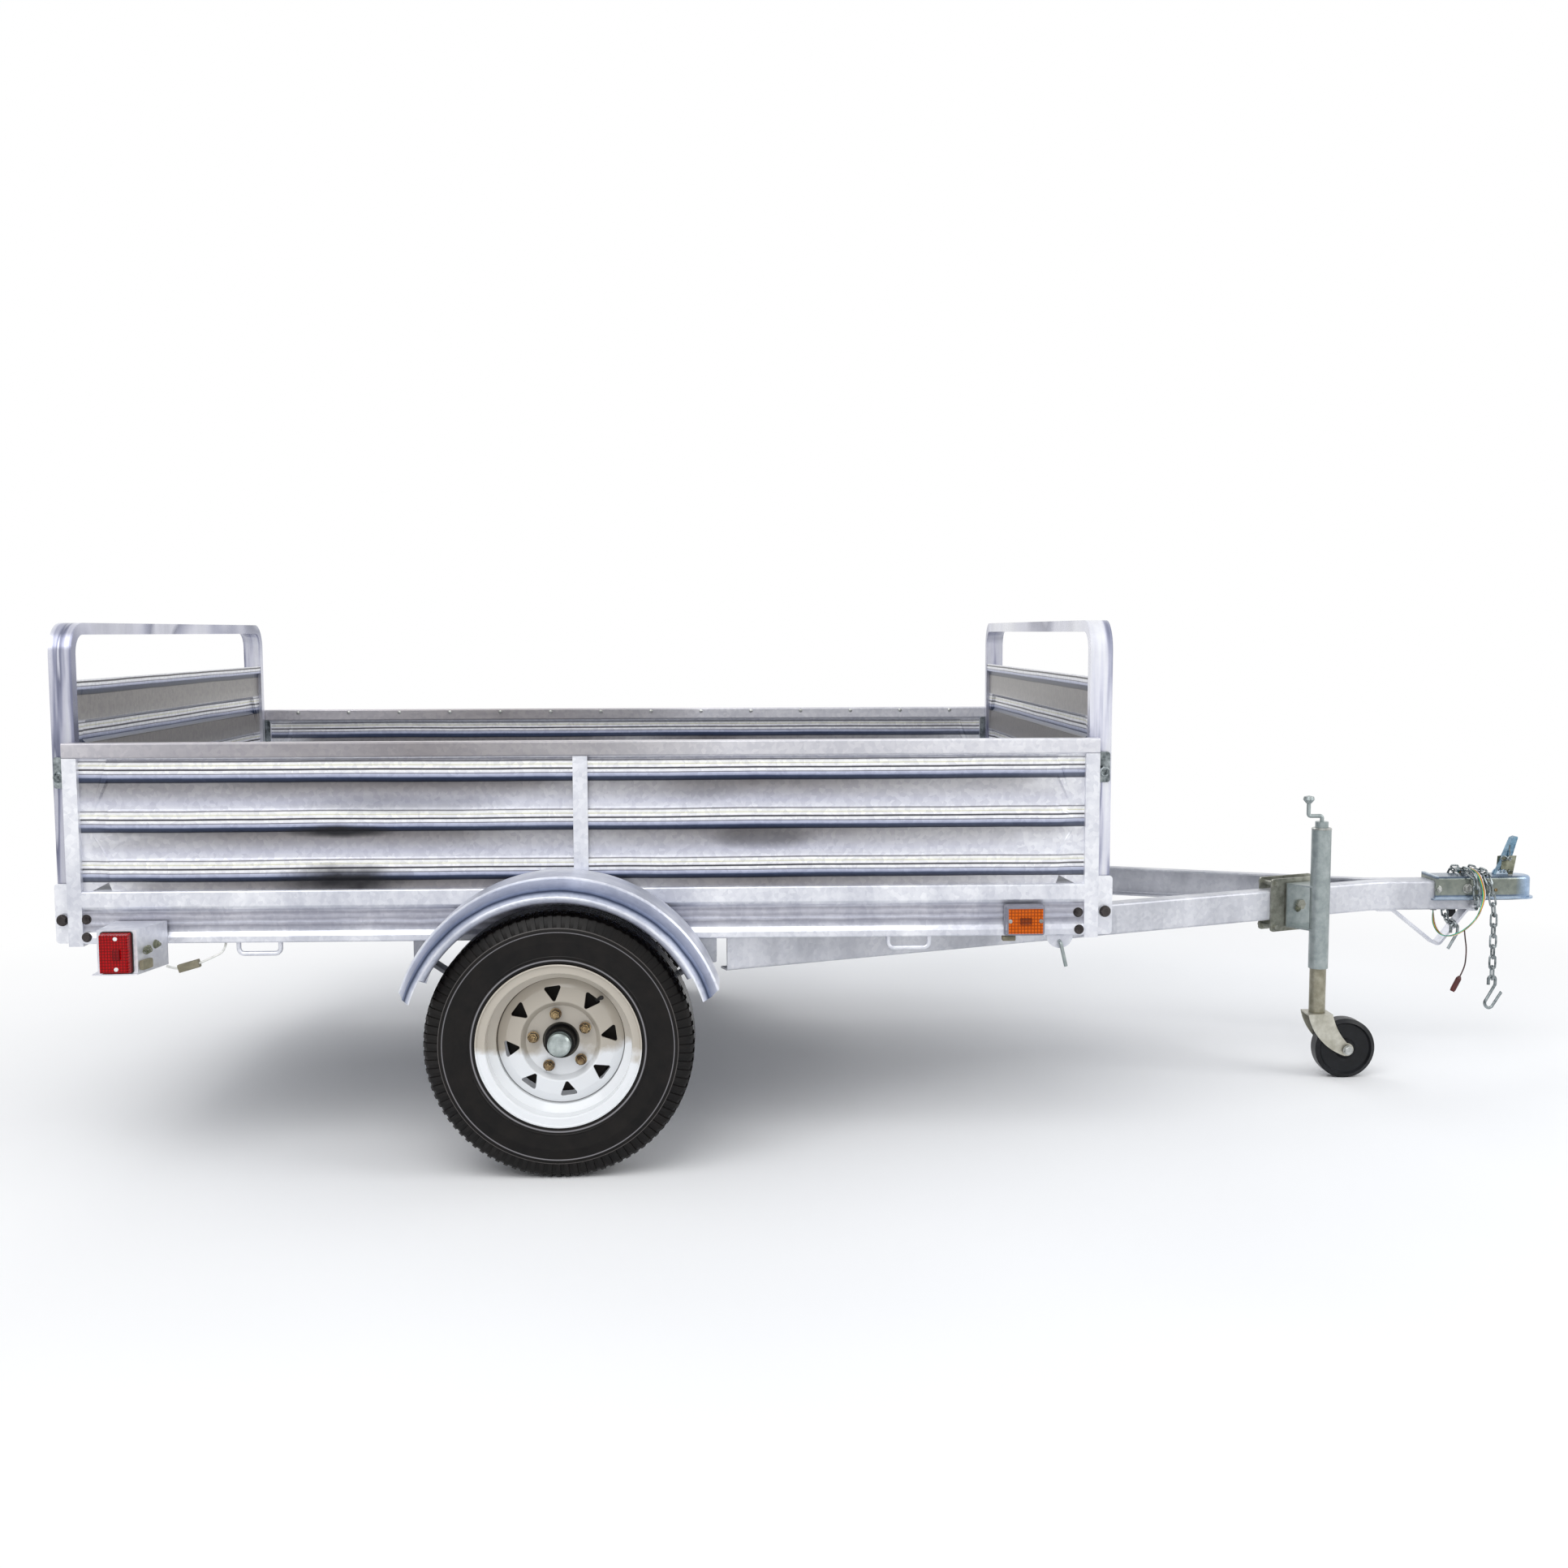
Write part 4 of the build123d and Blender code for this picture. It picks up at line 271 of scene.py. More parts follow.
def web_tint(tree, place):
    """Painted reflection: the side rails' web is a streaky grey band, with pale flanges above and below it
    """
    height = add_node(tree, "SeparateXYZ", {"Vector": place}, "Z")
    height = wavering(tree, place, height, 9 * MM, 3, 9 * MM, (0.12, 1, 1))
    return banded(tree, height, FRAME_Z + 27 * MM, FRAME_Z + 83 * MM,
                  ((0.0, "ffffff"), (0.12, "d2d2d8"), (0.25, "aeadb3"), (0.38, "e6e6ec"), (0.48, "bbbac0"),
                   (0.62, "d8d7dc"), (0.74, "b2b1b7"), (0.86, "dcdce2"), (0.94, "ffffff")))


def streak_tint(tree, place):
    """Painted reflection: long pale and lilac streaks down the posts, where the drawn tube mirrors what is
    round it
    """
    run = add_node(tree, "Mapping", {"Vector": place, "Scale": (1, 0.05, 0.06)})
    streaks = add_node(tree, "TexNoise", {"Vector": run, "Scale": 1 / (20 * MM)})
    return add_node(tree, "ValToRGB", {"Fac": streaks},
                    stops=((0.32, "ffffff"), (0.47, "eeeef6"), (0.56, "b4b6c8"), (0.62, "8f92a6"),
                           (0.68, "f4f4fa")))


FENDER_R = high_of("fender_left", "z") - HUB_Z
steel_frame = galvanised("galvanised_steel_tube", "f3f4f8", "cfd1da")
steel_web = galvanised("galvanised_steel_side_rail", "f3f4f8", "cfd1da", tint=web_tint)
steel_tongue = galvanised("galvanised_steel_tongue", "dedfe4", "b9bbc2", 0.5, 0.42)
steel_rail = galvanised("galvanised_steel_top_rail", "f4f4f6", "dadade", 0.5, 0.4, (0.25, 1, 1), rail_tint)
steel_fender = galvanised("galvanised_steel_fender", "f3f4f9", "d6d9e2", 0.5, 0.36, (1, 1, 1), crease_tint)
steel_gate = galvanised("galvanised_steel_gate_tube", "f2f3f8", "c4c5cd", 0.6, 0.24, (1, 0.4, 0.15),
                        streak_tint, 0.1)
steel_dull = galvanised("galvanised_steel_underframe", "b6b8bd", "85868c", 0.4, 0.5)
print("galvanised finishes made, fender radius", round(FENDER_R, 3))

# %% [markdown]
# ## Ribbed sheet
# The sides and gates are thin sheet with pressed ribs, and their light and shade is painted into the colour.
# A rib's lower slope looks down at the dark ground, so its painted reflection is a dark navy band, its crest
# has a painted highlight, and the flat below has painted shade, grey under the rib, that fades to white.
# Those bands follow the height, so the height is divided by the ribs' spacing and the remainder drives a
# colour ramp, while a long noise paints a whitening reflection over stretches of the sheet.

# %% Ribbed galvanised sheet
RIB_PITCH = 105 * MM
RIB_FOOT = 50 * MM
# painted reflections, highlights and shade of one pitch, upwards from the rib's lower foot: (share of the
# pitch, colour)
RIB_PAINTED_LIGHT = ((0.0, "10141f"), (0.02, "1c2740"), (0.09, "33415e"), (0.115, "a9b0c8"), (0.16, "c9cde0"),
             (0.175, "3c3d46"), (0.19, "f2f3f8"), (0.235, "ffffff"), (0.25, "35353b"), (0.275, "4a4a50"),
             (0.285, "fbfbfd"), (0.33, "ffffff"), (0.34, "d9d6b4"), (0.36, "f7f7f0"), (0.40, "ffffff"),
             (0.425, "4b4b50"), (0.445, "e8e9ef"))
RIB_WAVER = 5 * MM
SHEET_PIT = 3.5 * MM
SIDE_REAR, SIDE_FRONT = -1.041, 1.149  # the sides' ends, in metres from the axle
TONE_DRIFT = 0.9  # how far in metres the noise shifts the light and dark stretches


def ribbed(name, first_rib_z, flat_shade, stretches, patches=()):
    """Galvanised sheet whose bands of painted reflection and shade follow its ribs; first_rib_z is the
    middle of the lowest rib
    """
    made, tree, shader, place = new_material(name)
    along = add_node(tree, "SeparateXYZ", {"Vector": place}, "X")
    height = add_node(tree, "SeparateXYZ", {"Vector": place}, "Z")
    height = wavering(tree, place, height, 240 * MM, 4, RIB_WAVER, (0.7, 0.7, 1))
    foot = first_rib_z - RIB_FOOT / 2 + RIB_WAVER / 2
    cycle = add_node(tree, "MapRange", {"Value": height, "From Min": foot, "From Max": foot + RIB_PITCH},
                     clamp=False)
    turn = add_node(tree, "Math", {0: cycle}, operation="FRACT")
    # painted reflection, highlight and shade of the ribs, following the height
    bands = add_node(tree, "ValToRGB", {"Fac": turn}, stops=RIB_PAINTED_LIGHT + flat_shade)
    # painted reflection that whitens stretches of the sheet along X; the ribs are whitened less than the
    # flats
    drift = wavering(tree, place, along, 300 * MM, 5, TONE_DRIFT, (0.5, 0.5, 1.6), 0.6)
    tones = banded(tree, drift, AXLE_X + SIDE_REAR + TONE_DRIFT / 2, AXLE_X + SIDE_FRONT + TONE_DRIFT / 2,
                   stretches)
    flats = add_node(tree, "ValToRGB", {"Fac": turn}, stops=((0.42, "606060"), (0.47, "ffffff")))
    painted_whitening = add_node(tree, "Mix", {0: 1, 6: tones, 7: flats}, **TIMES)
    painted_whitening = add_node(tree, "SeparateColor", {"Color": painted_whitening})
    coat = add_node(tree, "Mix", {0: painted_whitening, 6: bands, 7: linear("f6f7fb")}, **OVER)
    flat_place = add_node(tree, "CombineXYZ", {"X": along, "Z": height})
    # dark patches over the sheet at the listed places
    for x, z, half_width, half_height, strength in patches:
        spot = add_node(tree, "Mapping", {"Vector": flat_place,
                                          "Scale": (1 / half_width, 0, 1 / half_height),
                                          "Location": (-(AXLE_X + x) / half_width, 0, -z / half_height)})
        reach = add_node(tree, "VectorMath", {0: spot, 1: spot}, "Value", operation="DOT_PRODUCT")
        reach = wavering(tree, place, reach, 60 * MM, 4, 0.9)
        dark_patch = add_node(tree, "MapRange", {"Value": reach, "From Min": 1.4, "From Max": 0.5,
                                           "To Max": strength})
        coat = add_node(tree, "Mix", {0: dark_patch, 6: coat, 7: linear("1a1b21")}, **OVER)
    crystals = add_node(tree, "TexVoronoi", {"Vector": place, "Scale": 1 / SPANGLE}, "Color")
    grain = add_node(tree, "SeparateColor", {"Color": crystals})
    shade = add_node(tree, "ValToRGB", {"Fac": grain}, stops=((0.0, "e9e9ed"), (1.0, "ffffff")))
    coat = add_node(tree, "Mix", {0: 1, 6: coat, 7: shade}, **TIMES)
    pits = add_node(tree, "TexNoise", {"Vector": place, "Scale": 1 / SHEET_PIT, "Detail": 3})
    dents = add_node(tree, "Bump", {"Height": pits, "Strength": 0.3, "Distance": 0.5 * MM})
    feed(tree, shader, {"Base Color": coat, "Metallic": 0.4, "Roughness": 0.36, "Normal": dents})
    return made


# %% The sheets of the sides and gates
# how far a painted reflection whitens the sheet, as greys, from the rear post to the front one
SIDE_PAINTED_WHITENING = ((0.0, "e0e0e0"), (0.05, "808080"), (0.14, "3c3c3c"), (0.32, "141414"), (0.42, "404040"),
              (0.49, "8c8c8c"), (0.56, "5a5a5a"), (0.64, "202020"), (0.72, "565656"), (0.82, "848484"),
              (0.93, "a8a8a8"), (1.0, "f0f0f0"))
# the flat between two ribs, as the rest of a pitch, darkening to painted shade under the rib above
SIDE_FLAT_SHADE = ((0.58, "c6c7d4"), (0.74, "a3a2a8"), (0.90, "7f7c7d"), (0.985, "6b6869"), (1.0, "10141f"))
GATE_FLAT_SHADE = ((0.50, "a19e9a"), (0.70, "8f8b87"), (0.985, "86827e"), (1.0, "2a2a2c"))
# dark patches: (x from the axle, z, half width, half height, strength), in metres
PATCHES = ((-0.470, 0.703, 0.13, 0.016, 1.0), (-0.470, 0.600, 0.17, 0.040, 1.0),
           (-0.36, 0.76, 0.26, 0.022, 0.35), (0.420, 0.682, 0.14, 0.026, 0.5),
           (0.30, 0.785, 0.10, 0.03, 0.25))
SIDE_RIB_Z = SIDE_TOP_Z - 60 * MM - 2 * RIB_PITCH
GATE_RIB_Z = high_of("rear_gate_panel", "z") - 112 * MM - 2 * RIB_PITCH
side_sheet = ribbed("galvanised_ribbed_side_sheet", SIDE_RIB_Z, SIDE_FLAT_SHADE, SIDE_PAINTED_WHITENING, PATCHES)
gate_sheet = ribbed("galvanised_ribbed_gate_sheet", GATE_RIB_Z, GATE_FLAT_SHADE,
                    ((0.0, "202020"), (1.0, "202020")))
print("lowest ribs: sides", round(SIDE_RIB_Z, 3), "gates", round(GATE_RIB_Z, 3))

# %% [markdown]
# ## Zinc plate
# The coupler, the jack and the bolts are electroplated, a thinner and smoother zinc than the dip gives.
# It takes its cast from the passivate: blue, olive or yellow. Faint wiping marks break the mirror up.


# %% Zinc plate
WIPE = 22 * MM  # across a wiping mark
ZINC_GRAIN = 1.5 * MM  # coarser than the real grain, which is too fine to show


def zinc(name, light, dark, roughness=0.3, metallic=0.8, tint=None):
    """Electroplated zinc with faint wiping marks; tint(tree, place), such as a painted reflection, is
    multiplied over it
    """
    made, tree, shader, place = new_material(name)
    marks = add_node(tree, "TexNoise", {"Vector": place, "Scale": 1 / WIPE, "Detail": 5,
                                        "Roughness": 0.6})
    coat = add_node(tree, "ValToRGB", {"Fac": marks}, stops=((0.35, dark), (0.68, light)))
    if tint:
        coat = add_node(tree, "Mix", {0: 1, 6: coat, 7: tint(tree, place)}, **TIMES)
    grain = add_node(tree, "TexNoise", {"Vector": place, "Scale": 1 / ZINC_GRAIN})
    relief = add_node(tree, "Bump", {"Height": grain, "Strength": 0.08, "Distance": 0.2 * MM})
    feed(tree, shader, {"Base Color": coat, "Metallic": metallic, "Roughness": roughness, "Normal": relief})
    return made


def coupler_tint(tree, place):
    """Painted reflections: the pressed sides are olive-grey, mirroring the ground, between painted blue
    highlights on the roof, the nose and the foot flange
    """
    height = add_node(tree, "SeparateXYZ", {"Vector": place}, "Z")
    sides = banded(tree, height, low_of("coupler", "z"), high_of("coupler", "z"),
                   ((0.0, "5d6f86"), (0.06, "dfe9f5"), (0.13, "62758f"), (0.19, "9a9d93"),
                    (0.72, "8f9287"), (0.78, "4a5c74"), (0.86, "e4effa"), (1.0, "b9cfe6")))
    along = add_node(tree, "SeparateXYZ", {"Vector": place}, "X")
    tip = high_of("coupler", "x")
    nose = add_node(tree, "MapRange", {"Value": along, "From Min": tip - 60 * MM, "From Max": tip - 30 * MM})
    return add_node(tree, "Mix", {0: nose, 6: sides, 7: linear("b4c8e2")}, **OVER)


def hub_tint(tree, place):
    """Bright cap, a black barrel round it, dull zinc beyond"""
    return banded(tree, from_axle(tree, place), 20 * MM, 40 * MM,
                  ((0.0, "ffffff"), (0.2, "e8ecea"), (0.24, "14110f"), (0.62, "14110f"), (0.75, "6b6259"),
                   (1.0, "57504a")))


zinc_jack = zinc("grey_zinc_plated_jack_tube", "a9b1b1", "8d9797", 0.34, 0.6)
zinc_leg = zinc("olive_zinc_plated_jack_leg", "a5a190", "85816f", 0.3, 0.6)
zinc_hub = zinc("zinc_plated_hub", "c3cbc9", "8f9896", 0.3, 0.6, hub_tint)
zinc_coupler = zinc("blue_zinc_plated_coupler", "f2f6f8", "c6ced3", 0.24, 0.7, coupler_tint)
zinc_latch = zinc("blue_zinc_plated_latch", "8fb3c9", "4f6f86", 0.26, 0.7)
zinc_clamp = zinc("olive_zinc_plated_clamp", "a6a79b", "7c7d73", 0.34, 0.6)
zinc_fork = zinc("zinc_plated_caster_fork", "c9c7bb", "a9a698", 0.34, 0.6)
zinc_chain = zinc("zinc_plated_chain", "b0b8ba", "444d50", 0.24, 0.8)
zinc_bolt = zinc("zinc_plated_bolts", "d3d5d2", "8d8f8b", 0.3, 0.7)
olive_plate = zinc("olive_chromate_plate", "9a9c88", "5f6250", 0.35, 0.5)
brass_plate = zinc("yellow_passivated_nuts", "b39c74", "553f2c", 0.26, 0.75)
dark_bolt = zinc("darkened_bolt_heads", "4a4544", "1f1b1b", 0.4, 0.6)
print("plated finishes made")

# %% [markdown]
# ## Enamel, rubber and plastics
# The wheels are white stoving enamel, a gloss coat with a warm painted shadow of the fender over its upper
# half and dirt in the seam of the disc. The tyres are carbon-black rubber, nearly matt, with pale grey
# rings. The lamps are moulded in clear tinted acrylic, whose grid of little squares glitters, and the leads
# are glossy extruded PVC.


# %% White enamel of the wheels
def enamel(name, colour, shade, line):
    """Stoving enamel: a gloss coat over white, a warm painted shadow of the fender over its upper half, dark
    in the disc's seam
    """
    made, tree, shader, place = new_material(name)
    height = add_node(tree, "SeparateXYZ", {"Vector": place}, "Z")
    height = wavering(tree, place, height, 60 * MM, 5, 120 * MM)
    # the shade colour over the upper half is the fender's painted shadow
    coat = banded(tree, height, HUB_Z - 30 * MM, HUB_Z + 110 * MM, ((0.45, colour), (0.62, shade)))
    seam = banded(tree, from_axle(tree, place), 124 * MM, 140 * MM,
                  ((0.36, "ffffff"), (0.46, line), (0.54, "ffffff")))
    clean = add_node(tree, "SeparateColor", {"Color": seam})
    coat = add_node(tree, "Mix", {0: clean, 6: linear("3a3632"), 7: coat}, **OVER)
    feed(tree, shader, {"Base Color": coat, "Roughness": 0.22, "IOR": 1.5, "Coat Weight": 0.5})
    return made


wheel_enamel = enamel("white_stoving_enamel", "eef0f2", "b9b1a4", "303030")
print("enamel made")


# %% Rubber and plastics
MOTTLE = 35 * MM  # across a duller patch
MOULD_GRAIN = 1.2 * MM  # coarser than the real grain, which is too fine to show


def moulded(name, colour, shade, roughness, rings=(), gloss=0.5):
    """Moulded rubber or plastic, slightly mottled; rings are pale lines at radii from the axle"""
    made, tree, shader, place = new_material(name)
    mottle = add_node(tree, "TexNoise", {"Vector": place, "Scale": 1 / MOTTLE, "Detail": 6,
                                         "Roughness": 0.65})
    coat = add_node(tree, "ValToRGB", {"Fac": mottle}, stops=((0.35, colour), (0.7, shade)))
    for radius, width, ring_colour in rings:
        off = add_node(tree, "Math", {0: from_axle(tree, place), 1: radius}, operation="SUBTRACT")
        off = add_node(tree, "Math", {0: off}, operation="ABSOLUTE")
        ring_share = add_node(tree, "MapRange", {"Value": off, "From Min": width, "From Max": 0.2 * width})
        coat = add_node(tree, "Mix", {0: ring_share, 6: coat, 7: linear(ring_colour)}, **OVER)
    grain = add_node(tree, "TexNoise", {"Vector": place, "Scale": 1 / MOULD_GRAIN})
    relief = add_node(tree, "Bump", {"Height": grain, "Strength": 0.1, "Distance": 0.2 * MM})
    feed(tree, shader, {"Base Color": coat, "Roughness": roughness, "IOR": 1.52, "Specular IOR Level": gloss,
                        "Normal": relief})
    return made


TYRE_RINGS = ((TYRE_R - 99 * MM, 2.2 * MM, "8b898c"), (TYRE_R - 41 * MM, 1.6 * MM, "7b797c"),
              (TYRE_R - 33 * MM, 1.2 * MM, "5c5856"))
tyre_rubber = moulded("black_tyre_rubber", "060505", "15110f", 0.3, rings=TYRE_RINGS, gloss=0.2)
black_rubber = moulded("black_gasket_rubber", "141414", "262626", 0.6)
black_nylon = moulded("black_moulded_nylon", "0d0e10", "1b1d21", 0.36, gloss=0.25)
grey_plug = moulded("olive_grey_plug_plastic", "6f6a56", "96907a", 0.5)
brown_plug = moulded("dark_red_bullet_plug", "3c0f10", "5a1c1a", 0.4)
# the black of the dishes behind the wheels, which are painted shade
shade_dish_black = moulded("hub_shield_black_primer", "1a1512", "2b221c", 0.6)
white_screw = moulded("white_nylon_screw", "f2f2ef", "dcdcd8", 0.35)
grey_bezel = moulded("grey_lamp_bezel", "85858f", "a3a3ad", 0.45)
print("rubber and plastics made")

# %% Lenses
BEZEL_EDGE = 5.5 * MM


def bezel_edge(tree, place, node):
    """0 on a lens, 1 on the bezel that runs round the edge of a node's box, seen from the side"""
    centre = middle(node)
    half_width = high_of(node, "x") - centre.x - BEZEL_EDGE
    half_height = high_of(node, "z") - centre.z - BEZEL_EDGE
    off = add_node(tree, "Mapping", {"Vector": place, "Scale": (1 / half_width, 0, 1 / half_height),
                                     "Location": (-centre.x / half_width, 0, -centre.z / half_height)})
    off = add_node(tree, "VectorMath", {0: off}, operation="ABSOLUTE")
    across = add_node(tree, "SeparateXYZ", {"Vector": off}, "X")
    down = add_node(tree, "SeparateXYZ", {"Vector": off}, "Z")
    reach = add_node(tree, "Math", {0: across, 1: down}, operation="MAXIMUM")
    return add_node(tree, "MapRange", {"Value": reach, "From Min": 1, "From Max": 1.03})


def lens(name, colour, deep, rib, border=None):
    """Tinted acrylic with a moulded grid of little squares; border names a node whose edge is grey bezel"""
    made, tree, shader, place = new_material(name)
    across = add_node(tree, "SeparateXYZ", {"Vector": place}, "X")
    across = add_node(tree, "Math", {0: across, 1: rib / 2}, operation="PINGPONG")
    down = add_node(tree, "SeparateXYZ", {"Vector": place}, "Z")
    down = add_node(tree, "Math", {0: down, 1: rib / 2}, operation="PINGPONG")
    grid = add_node(tree, "Math", {0: across, 1: down}, operation="MINIMUM")
    grid = add_node(tree, "Math", {0: grid, 1: rib / 2}, operation="DIVIDE")
    coat = add_node(tree, "ValToRGB", {"Fac": grid}, stops=((0.0, deep), (0.45, colour)))
    if border:
        edge = bezel_edge(tree, place, border)
        coat = add_node(tree, "Mix", {0: edge, 6: coat, 7: linear("8d8d98")}, **OVER)
    relief = add_node(tree, "Bump", {"Height": grid, "Strength": 0.6, "Distance": 0.8 * MM})
    feed(tree, shader, {"Base Color": coat, "Normal": relief, "Roughness": 0.12, "IOR": 1.49,
                        "Specular IOR Level": 0.2, "Subsurface Weight": 0.05, "Subsurface Scale": 4 * MM})
    return made


red_lens = lens("red_acrylic_lens", "b00008", "500004", 6 * MM)
red_dark = lens("red_acrylic_lens_deep", "86040c", "4c0206", 6 * MM)
amber_lens = lens("amber_acrylic_lens", "d86202", "7c3000", 7 * MM, "side_markers")
amber_dark = lens("amber_acrylic_lens_deep", "8c3a06", "4c1c02", 7 * MM)
print("lenses made")


# %% PVC of the leads
SCUFF = 25 * MM


def sheath(name, colour, shade):
    """Glossy PVC insulation on a wire"""
    made, tree, shader, place = new_material(name)
    patches = add_node(tree, "TexNoise", {"Vector": place, "Scale": 1 / SCUFF, "Detail": 3})
    coat = add_node(tree, "ValToRGB", {"Fac": patches}, stops=((0.35, shade), (0.6, colour)))
    feed(tree, shader, {"Base Color": coat, "Roughness": 0.35})
    return made


# the four wires of the lamp harness, in their order across the ribbon
WIRES = (("green", "35b5a0", "1f7d6e"), ("yellow", "e6d23c", "b39a1e"), ("brown", "c4523a", "7d2f22"),
         ("white", "f0f0ea", "c8c8c0"))
wire_sheaths = {name: sheath(f"pvc_wire_{name}", colour, shade) for name, colour, shade in WIRES}
lamp_sheath = sheath("pvc_wire_lamp", "e9e9e4", "b9bab4")
lead_sheath = sheath("pvc_wire_earth", "4a2c2a", "2c1a1a")
print("wire finishes made")

# %% [markdown]
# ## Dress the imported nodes
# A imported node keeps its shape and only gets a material. The table reads like a parts list.

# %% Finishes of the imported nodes
FINISHES = (
    (steel_frame, ("corner_posts", "mid_stakes", "end_rail_front", "end_rail_rear", "gate_hinges",
                   "rope_hooks", "tail_lamp_brackets", "pin_tabs", "tongue_skid")),
    (steel_web, ("side_rail_left", "side_rail_right")),
    (steel_gate, ("rear_gate_hoop", "front_gate_hoop")),
    (steel_fender, ("fender_left", "fender_right")),
    (steel_tongue, ("tongue_beam_left", "tongue_beam_right")),
    (steel_rail, ("top_rail_left", "top_rail_right")),
    (steel_dull, ("cross_members", "floor_sheet", "axle", "axle_clamps", "leaf_spring_left",
                  "leaf_spring_right", "spring_hangers", "fender_stays")),
    (side_sheet, ("side_panel_left", "side_panel_right")),
    (gate_sheet, ("rear_gate_panel", "front_gate_panel")),
    (zinc_jack, ("jack_tube", "jack_crank", "tab_pins")),
    (zinc_leg, ("jack_leg",)),
    (zinc_hub, ("hub_left", "hub_right")),
    (zinc_clamp, ("jack_clamp",)),
    (zinc_coupler, ("coupler",)),
    (zinc_latch, ("coupler_latch",)),
    (zinc_fork, ("caster_fork",)),
    (zinc_chain, ("chain_hooks", "safety_chains", "gate_latches")),
    (wheel_enamel, ("rim_left", "rim_right")),
    (tyre_rubber, ("tyre_left", "tyre_right")),
    (black_nylon, ("caster_wheel", "harness_plug")),
    (grey_plug, ("lamp_connectors",)),
    (grey_bezel, ("side_markers_gaskets",)),
    (brown_plug, ("wiring_plug",)),
    (black_rubber, ("harness_grommet", "tail_lamps_gaskets")),
    (red_lens, ("tail_lamps",)),
    (amber_lens, ("side_markers",)),
    (lamp_sheath, ("lamp_leads", "wiring_harness", "wiring_lead")),
)
for material, names in FINISHES:
    for name in names:
        node = nodes[name]
        if not node.material_slots:
            node.data.materials.append(material)
        for entry in node.material_slots:
            entry.material = material
undressed = set(nodes) - {name for _, names in FINISHES for name in names}
print("dressed", sum(len(names) for _, names in FINISHES), "undressed", sorted(undressed))

# %% [markdown]
# ## Modelling helpers
# Added pieces are modelled as by hand. A circle is laid down and extruded and scaled ring by ring, as a
# lathe would cut the shape, and is then turned to its axis. Each finished piece has its place in its mesh.


# %% Selecting, and settling a piece
def only(piece):
    """Selects one object alone and makes it the active one"""
    bpy.ops.object.select_all(action="DESELECT")
    piece.select_set(True)
    bpy.context.view_layer.objects.active = piece


def pick_faces(test):
    """In edit mode, selects the faces that pass the test, which gets a face's centre and normal"""
    bpy.ops.mesh.select_all(action="DESELECT")
    mesh = bmesh.from_edit_mesh(bpy.context.object.data)
    chosen = [face for face in mesh.faces if test(face.calc_center_median(), face.normal)]
    for face in chosen:
        face.select = True
    bmesh.update_edit_mesh(bpy.context.object.data)
    return len(chosen)


def settle(piece, material, body, smooth=30):
    """Applies the place of a piece, shades it, and hands it to its body"""
    only(piece)
    bpy.ops.object.transform_apply(location=True, rotation=True, scale=True)
    bpy.ops.object.shade_smooth_by_angle(angle=math.radians(smooth))
    piece.data.materials.clear()
    piece.data.materials.append(material)
    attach(piece, body)
    return piece


# %% Turning, placing and joining
def turned(name, rings, segments, closed=False):
    """A turned piece about Z: rings are (radius, height), a radius of 0 closes an end to a point"""
    bpy.ops.object.select_all(action="DESELECT")
    bpy.ops.mesh.primitive_circle_add(vertices=segments, radius=rings[0][0], location=(0, 0, 0))
    piece = bpy.context.object
    piece.name = name
    bpy.ops.object.mode_set(mode="EDIT")
    bpy.ops.mesh.select_all(action="SELECT")
    bpy.ops.transform.translate(value=(0, 0, rings[0][1]))
    loop = list(rings) + ([rings[0]] if closed else [])
    for (radius, height), (new_radius, new_height) in zip(loop, loop[1:]):
        bpy.ops.mesh.extrude_region_move(TRANSFORM_OT_translate={"value": (0, 0, new_height - height)})
        if new_radius == 0:
            bpy.ops.mesh.merge(type="CENTER")
            break
        grow = new_radius / radius
        bpy.ops.transform.resize(value=(grow, grow, 1), center_override=(0, 0, new_height))
    bpy.ops.mesh.select_all(action="SELECT")
    bpy.ops.mesh.remove_doubles(threshold=0.00001)
    bpy.ops.mesh.normals_make_consistent(inside=False)
    bpy.ops.object.mode_set(mode="OBJECT")
    return piece


def aim(piece, place, axis, roll=0.0):
    """Puts a piece that was made about Z at its place, with Z along the axis"""
    turn = Vector((0, 0, 1)).rotation_difference(Vector(axis)).to_matrix().to_4x4()
    piece.matrix_world = Matrix.Translation(place) @ turn @ Matrix.Rotation(roll, 4, "Z")
    return piece


def copy_of(piece, name):
    """A copy with a mesh of its own"""
    twin = piece.copy()
    twin.data = piece.data.copy()
    twin.name = name
    bpy.context.scene.collection.objects.link(twin)
    return twin


def joined(pieces, name):
    """Several meshes made one object"""
    bpy.ops.object.select_all(action="DESELECT")
    for piece in pieces:
        piece.select_set(True)
    bpy.context.view_layer.objects.active = pieces[0]
    bpy.ops.object.transform_apply(location=True, rotation=True, scale=True)
    bpy.ops.object.join()
    whole = bpy.context.object
    whole.name = name
    return whole


# %% [markdown]
# ## Tyres
# A small bias-ply trailer tyre: a flat tread with four grooves, a stepped shoulder cut by a ring of
# sipes, and a sidewall with a few moulded rings. It is turned as one closed section. The sipes are every
# other shoulder face, extruded inwards, which costs few faces and follows the tyre round.

# %% The tyres
TYRE_SIPES = 92
TYRE_WIDTH = high_of("tyre_right", "y") - low_of("tyre_right", "y")
